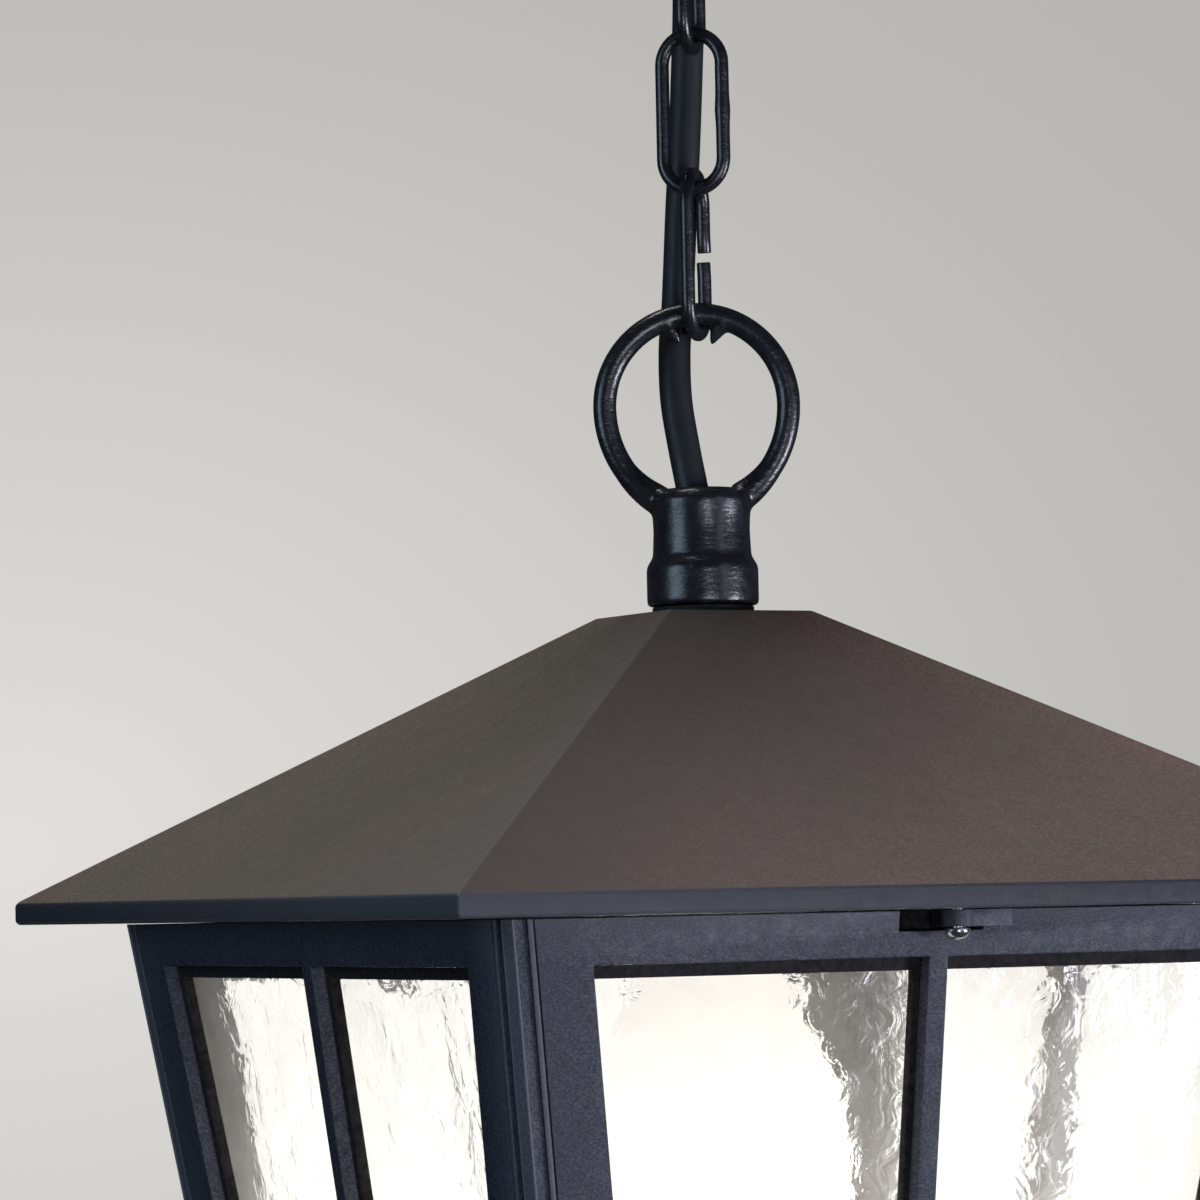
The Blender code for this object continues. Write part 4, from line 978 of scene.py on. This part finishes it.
def make_cover(material, screw_material):
    """The ceiling cover, its hook and its rim screws."""
    low, high = corners("canopy_cover")
    radius, height, skin = high.x, high.z - low.z, COVER_SKIN
    outer = [(radius, 0), (radius, -8.6 * MM), (radius - 0.6 * MM, -9.6 * MM),
             (radius - 2.4 * MM, -10.2 * MM)]
    for a in range(0, 90, 6):
        outer.append((24 * MM + (radius - 27.4 * MM) * cos(radians(a)),
                      -11 * MM - (height - 11 * MM) * sin(radians(a)) ** 0.9))
    outer += [(24 * MM, -height), (0, -height)]
    inner = [(x - skin, z + skin) for x, z in reversed(outer[2:-1])]
    profile = [(0, -height + skin)] + inner + [(radius - skin, 0)] + outer
    mesh = turned_mesh("cover", profile, steps=96)
    middle = centre_of("cable_grommet")
    holes = [
        cylinder_mesh(2.3 * MM, 10 * MM, (0, 0, -height)),
        cylinder_mesh(5 * MM, 10 * MM, (middle.x, middle.y, -height)),
        cylinder_mesh(2.3 * MM, 120 * MM, (0, 0, -7.5 * MM), Matrix.Rotation(radians(90), 4, "X")),
    ]
    add_piece("cover", combined(mesh, holes, "DIFFERENCE"), material, "ceiling_mount",
              ("canopy_cover",), smooth=35)
    for name, side in (("front", -1), ("back", 1)):
        make_screw(f"cover_screw_{name}", screw_material, "ceiling_mount", f"canopy_screw_{name}",
                   3.6 * MM, 2 * MM, 1.5 * MM, (0, side, 0), 20)
    hook_low, hook_high = corners("canopy_hook")
    centre_z = hook_low.z + HOOK_WIRE + HOOK_RADIUS
    wide = heading_vector(CROSS_HEADING)
    steps = 72
    path = []
    for k in range(steps):
        turn = tau * k / steps
        path.append(wide * (HOOK_RADIUS * sin(turn)) + up(centre_z + HOOK_RADIUS * cos(turn)))
    loop = tube_mesh("hook", path, [HOOK_WIRE] * steps, cyclic=True)
    stem_low = centre_z + HOOK_RADIUS
    stem = cylinder_mesh(HOOK_WIRE, hook_high.z - stem_low, (0, 0, (hook_high.z + stem_low) / 2), segments=32)
    add_piece("hook", combined(loop, [stem], "UNION"), material, "ceiling_mount",
              ("canopy_hook",), smooth=50)


# Lamp


def make_lamp(glass, metal, plastic):
    """The lit lamp with its rolled screw cap, and the ribbed lampholder skirt round it."""
    low, high = corners("lamp_glass")
    outline = [
        (12, 0.0), (12.2, 0.09), (13.2, 0.125), (15.5, 0.19), (19.5, 0.285), (24.5, 0.395), (28.2, 0.505),
        (30, 0.625), (29.2, 0.73), (26, 0.83), (20.5, 0.915), (13.5, 0.968), (6.5, 0.994), (0, 1.0),
    ]
    height = high.z - low.z
    places = [Vector((radius * MM, 0, high.z - share * height)) for radius, share in outline]
    outer = [(max(place.x, 0), place.z) for place in smooth_through(places, 4)]
    skin = MM
    inner = []
    for x, z in reversed(outer[:-1]):
        near_tip = x < 20 * MM and z < high.z - 0.7 * height
        inner.append((max(x - skin, 0), z + (skin if near_tip else 0)))
    profile = [(0, low.z + skin)] + inner + outer
    add_piece("lamp", turned_mesh("lamp", profile, steps=64), glass, "head", ("lamp_glass",),
              smooth=70)
    cap_low, cap_high = corners("lamp_cap")
    threads, turns = [], 5
    thread_top = cap_high.z - 5 * MM
    for step in range(turns * 8 + 1):
        share = step / (turns * 8)
        threads.append((12.65 * MM + 0.35 * MM * cos(tau * turns * share),
                        thread_top - share * (thread_top - cap_low.z - MM)))
    shell = [(0, cap_high.z), (5 * MM, cap_high.z), (6 * MM, cap_high.z - 1.5 * MM)]
    shell += [(11.8 * MM, cap_high.z - 4 * MM)] + threads
    inside = [(12.15 * MM, cap_low.z), (12.1 * MM, cap_high.z - 6 * MM), (0, cap_high.z - 6 * MM)]
    cap = turned_mesh("cap", shell + [(12.7 * MM, cap_low.z)] + inside, steps=64)
    add_piece("lamp_screw_cap", cap, metal, "head", ("lamp_cap",), smooth=50)
    skirt_low, skirt_high = corners("lampholder_skirt")
    ribs = 14
    ribbed = []
    for step in range(ribs * 2 + 1):
        z = skirt_high.z - 2 * MM - (skirt_high.z - skirt_low.z - 12 * MM) * step / (ribs * 2)
        ribbed.append((19.3 * MM - (0.5 * MM if step % 2 else 0), z))
    profile = [(16.5 * MM, skirt_high.z), (18.9 * MM, skirt_high.z), (19.3 * MM, skirt_high.z - 0.5 * MM)]
    profile += ribbed + [(20.3 * MM, skirt_low.z + 7 * MM), (20.3 * MM, skirt_low.z + 0.5 * MM)]
    profile += [(19.8 * MM, skirt_low.z), (16.5 * MM, skirt_low.z)]
    skirt = turned_mesh("skirt", profile, steps=72, closed=True)
    add_piece("lampholder_shell", skirt, plastic, "head", ("lampholder_skirt",), smooth=40)


def dress_nodes(names, material):
    """Give CAD nodes that stay their finish."""
    for name in names:
        for slot in frame["nodes"][name].material_slots:
            slot.material = material


# Surroundings


def make_room():
    """A plain pale floor below, a soft pale backdrop all round, and studio lights."""
    s = Shader("floor", roughness=0.8, Emission_Strength=0.55, Emission_Color=(0.98, 0.98, 0.96, 1))
    s.set("Base Color", s.ramp(s.noise(6, 3), (0.3, 0.70), (0.7, 0.74)))
    bm = bmesh.new()
    bmesh.ops.create_grid(bm, x_segments=1, y_segments=1, size=FLOOR_HALF)
    bmesh.ops.translate(bm, verts=bm.verts, vec=(0, 0, FLOOR_Z))
    mesh = bpy.data.meshes.new("floor")
    bm.to_mesh(mesh)
    bm.free()
    floor = bpy.data.objects.new("floor", mesh)
    mesh.materials.append(s.material)
    show(floor)
    floor.visible_diffuse = False
    floor.visible_glossy = False
    make_world()
    for settings in LIGHTS:
        add_light(*settings)
    lamp = bpy.data.lights.new("lamp_light", "POINT")
    lamp.energy = 0.50
    lamp.color = (1.0, 0.93, 0.84)
    lamp.shadow_soft_size = 0.02
    bulb = bpy.data.objects.new("lamp_light", lamp)
    bulb.location = (0, 0, corners("lamp_glass")[0].z - 12 * MM)
    show(bulb)


def add_light(name, place, size, energy, colour):
    """An area light that faces the lantern's middle; its size is one side or two."""
    light = bpy.data.lights.new(name, "AREA")
    if isinstance(size, tuple):
        light.shape = "RECTANGLE"
        light.size, light.size_y = size
    else:
        light.size = size
    light.energy = energy
    light.color = colour
    obj = bpy.data.objects.new(name, light)
    obj.location = place
    aim = up(EAVES_Z) - Vector(place)
    obj.rotation_euler = aim.to_track_quat("-Z", "Y").to_euler()
    show(obj)


def make_world():
    """A pale backdrop, brighter low on the left and through glass, and a dim light from all round."""
    world = bpy.data.worlds.new("studio")
    bpy.context.scene.world = world
    world.use_nodes = True
    nodes, links = world.node_tree.nodes, world.node_tree.links
    nodes.clear()

    def node(kind, operation=None):
        made = nodes.new(f"ShaderNode{kind}")
        if operation:
            made.operation = operation
        return made

    out, mix, rays = node("OutputWorld"), node("MixShader"), node("LightPath")
    backdrop, ambient = node("Background"), node("Background")
    ambient.inputs["Color"].default_value = (0.80, 0.86, 1.0, 1)
    ambient.inputs["Strength"].default_value = 0.035
    seen = node("Math", "MAXIMUM")
    links.new(rays.outputs["Is Camera Ray"], seen.inputs[0])
    links.new(rays.outputs["Is Transmission Ray"], seen.inputs[1])
    ahead = Vector((-sin(VIEW_HEADING), cos(VIEW_HEADING), 0.012))
    bright = (ahead - heading_vector(VIEW_HEADING) * 0.118).normalized()
    flattened = node("VectorMath", "MULTIPLY")
    flattened.inputs[1].default_value = (1, 1, 1.4)
    links.new(node("TexCoord").outputs["Generated"], flattened.inputs[0])
    gap = node("VectorMath", "DISTANCE")
    gap.inputs[1].default_value = (bright.x, bright.y, bright.z * 1.4)
    links.new(flattened.outputs[0], gap.inputs[0])
    ramp = node("ValToRGB")
    fill_ramp(ramp, BACKDROP)
    links.new(gap.outputs["Value"], ramp.inputs["Fac"])
    links.new(ramp.outputs["Color"], backdrop.inputs["Color"])
    strength = node("Math", "MULTIPLY_ADD")
    strength.inputs[1].default_value = 1.75
    strength.inputs[2].default_value = 1.0
    links.new(rays.outputs["Is Transmission Ray"], strength.inputs[0])
    links.new(strength.outputs[0], backdrop.inputs["Strength"])
    for index, source in enumerate((seen, ambient, backdrop)):
        links.new(source.outputs[0], mix.inputs[index])
    links.new(mix.outputs[0], out.inputs["Surface"])


def build():
    """Make every visible piece."""
    bpy.context.scene.view_settings.view_transform = "Standard"
    make_camera()
    paint, roof, iron = frame_paint(), weathered_roof(), black_iron()
    steel, metal, sheath = plated_steel(), brass(), flex_sheath()
    rubber = moulded("gasket_rubber", (0.012, 0.012, 0.012), (0.026, 0.026, 0.026), 0.75)
    plastic = moulded("black_plastic", (0.014, 0.014, 0.015), (0.030, 0.030, 0.032), 0.42)
    ceramic = moulded("white_ceramic", (0.74, 0.73, 0.69), (0.86, 0.85, 0.82), 0.3)
    make_flex(sheath)
    # The paint on the roof's fascia and underside is a darker, less shiny copy of the frame paint: painted
    # shade.
    make_roof(roof, frame_paint("roof_edge_painted_shade", 0.5, 0.3))
    make_cage_frame(paint, recess_painted_shade())
    make_panes(water_glass())
    make_base(paint, steel)
    make_catch(paint, steel)
    make_hanging_loop(iron)
    make_chain(iron)
    make_cover(iron, iron)
    make_lamp(lamp_glass(), metal, plastic)
    for material, names in (
        (steel, ("mounting_strap", "hook_nut", "hinge_pin", "leaf_screw_left", "leaf_screw_right")),
        (ceramic, ("terminal_block", "lampholder_insert")), (rubber, ("cable_grommet", "loop_washer")),
        (metal, ("loop_nut", *(f"pane_clip_{name}" for name, _ in SIDES))), (plastic, ("lampholder_cap",)),
        (paint, ("hinge_leaf_roof", "hinge_leaf_cage")),
    ):
        dress_nodes(names, material)
    make_room()


build()
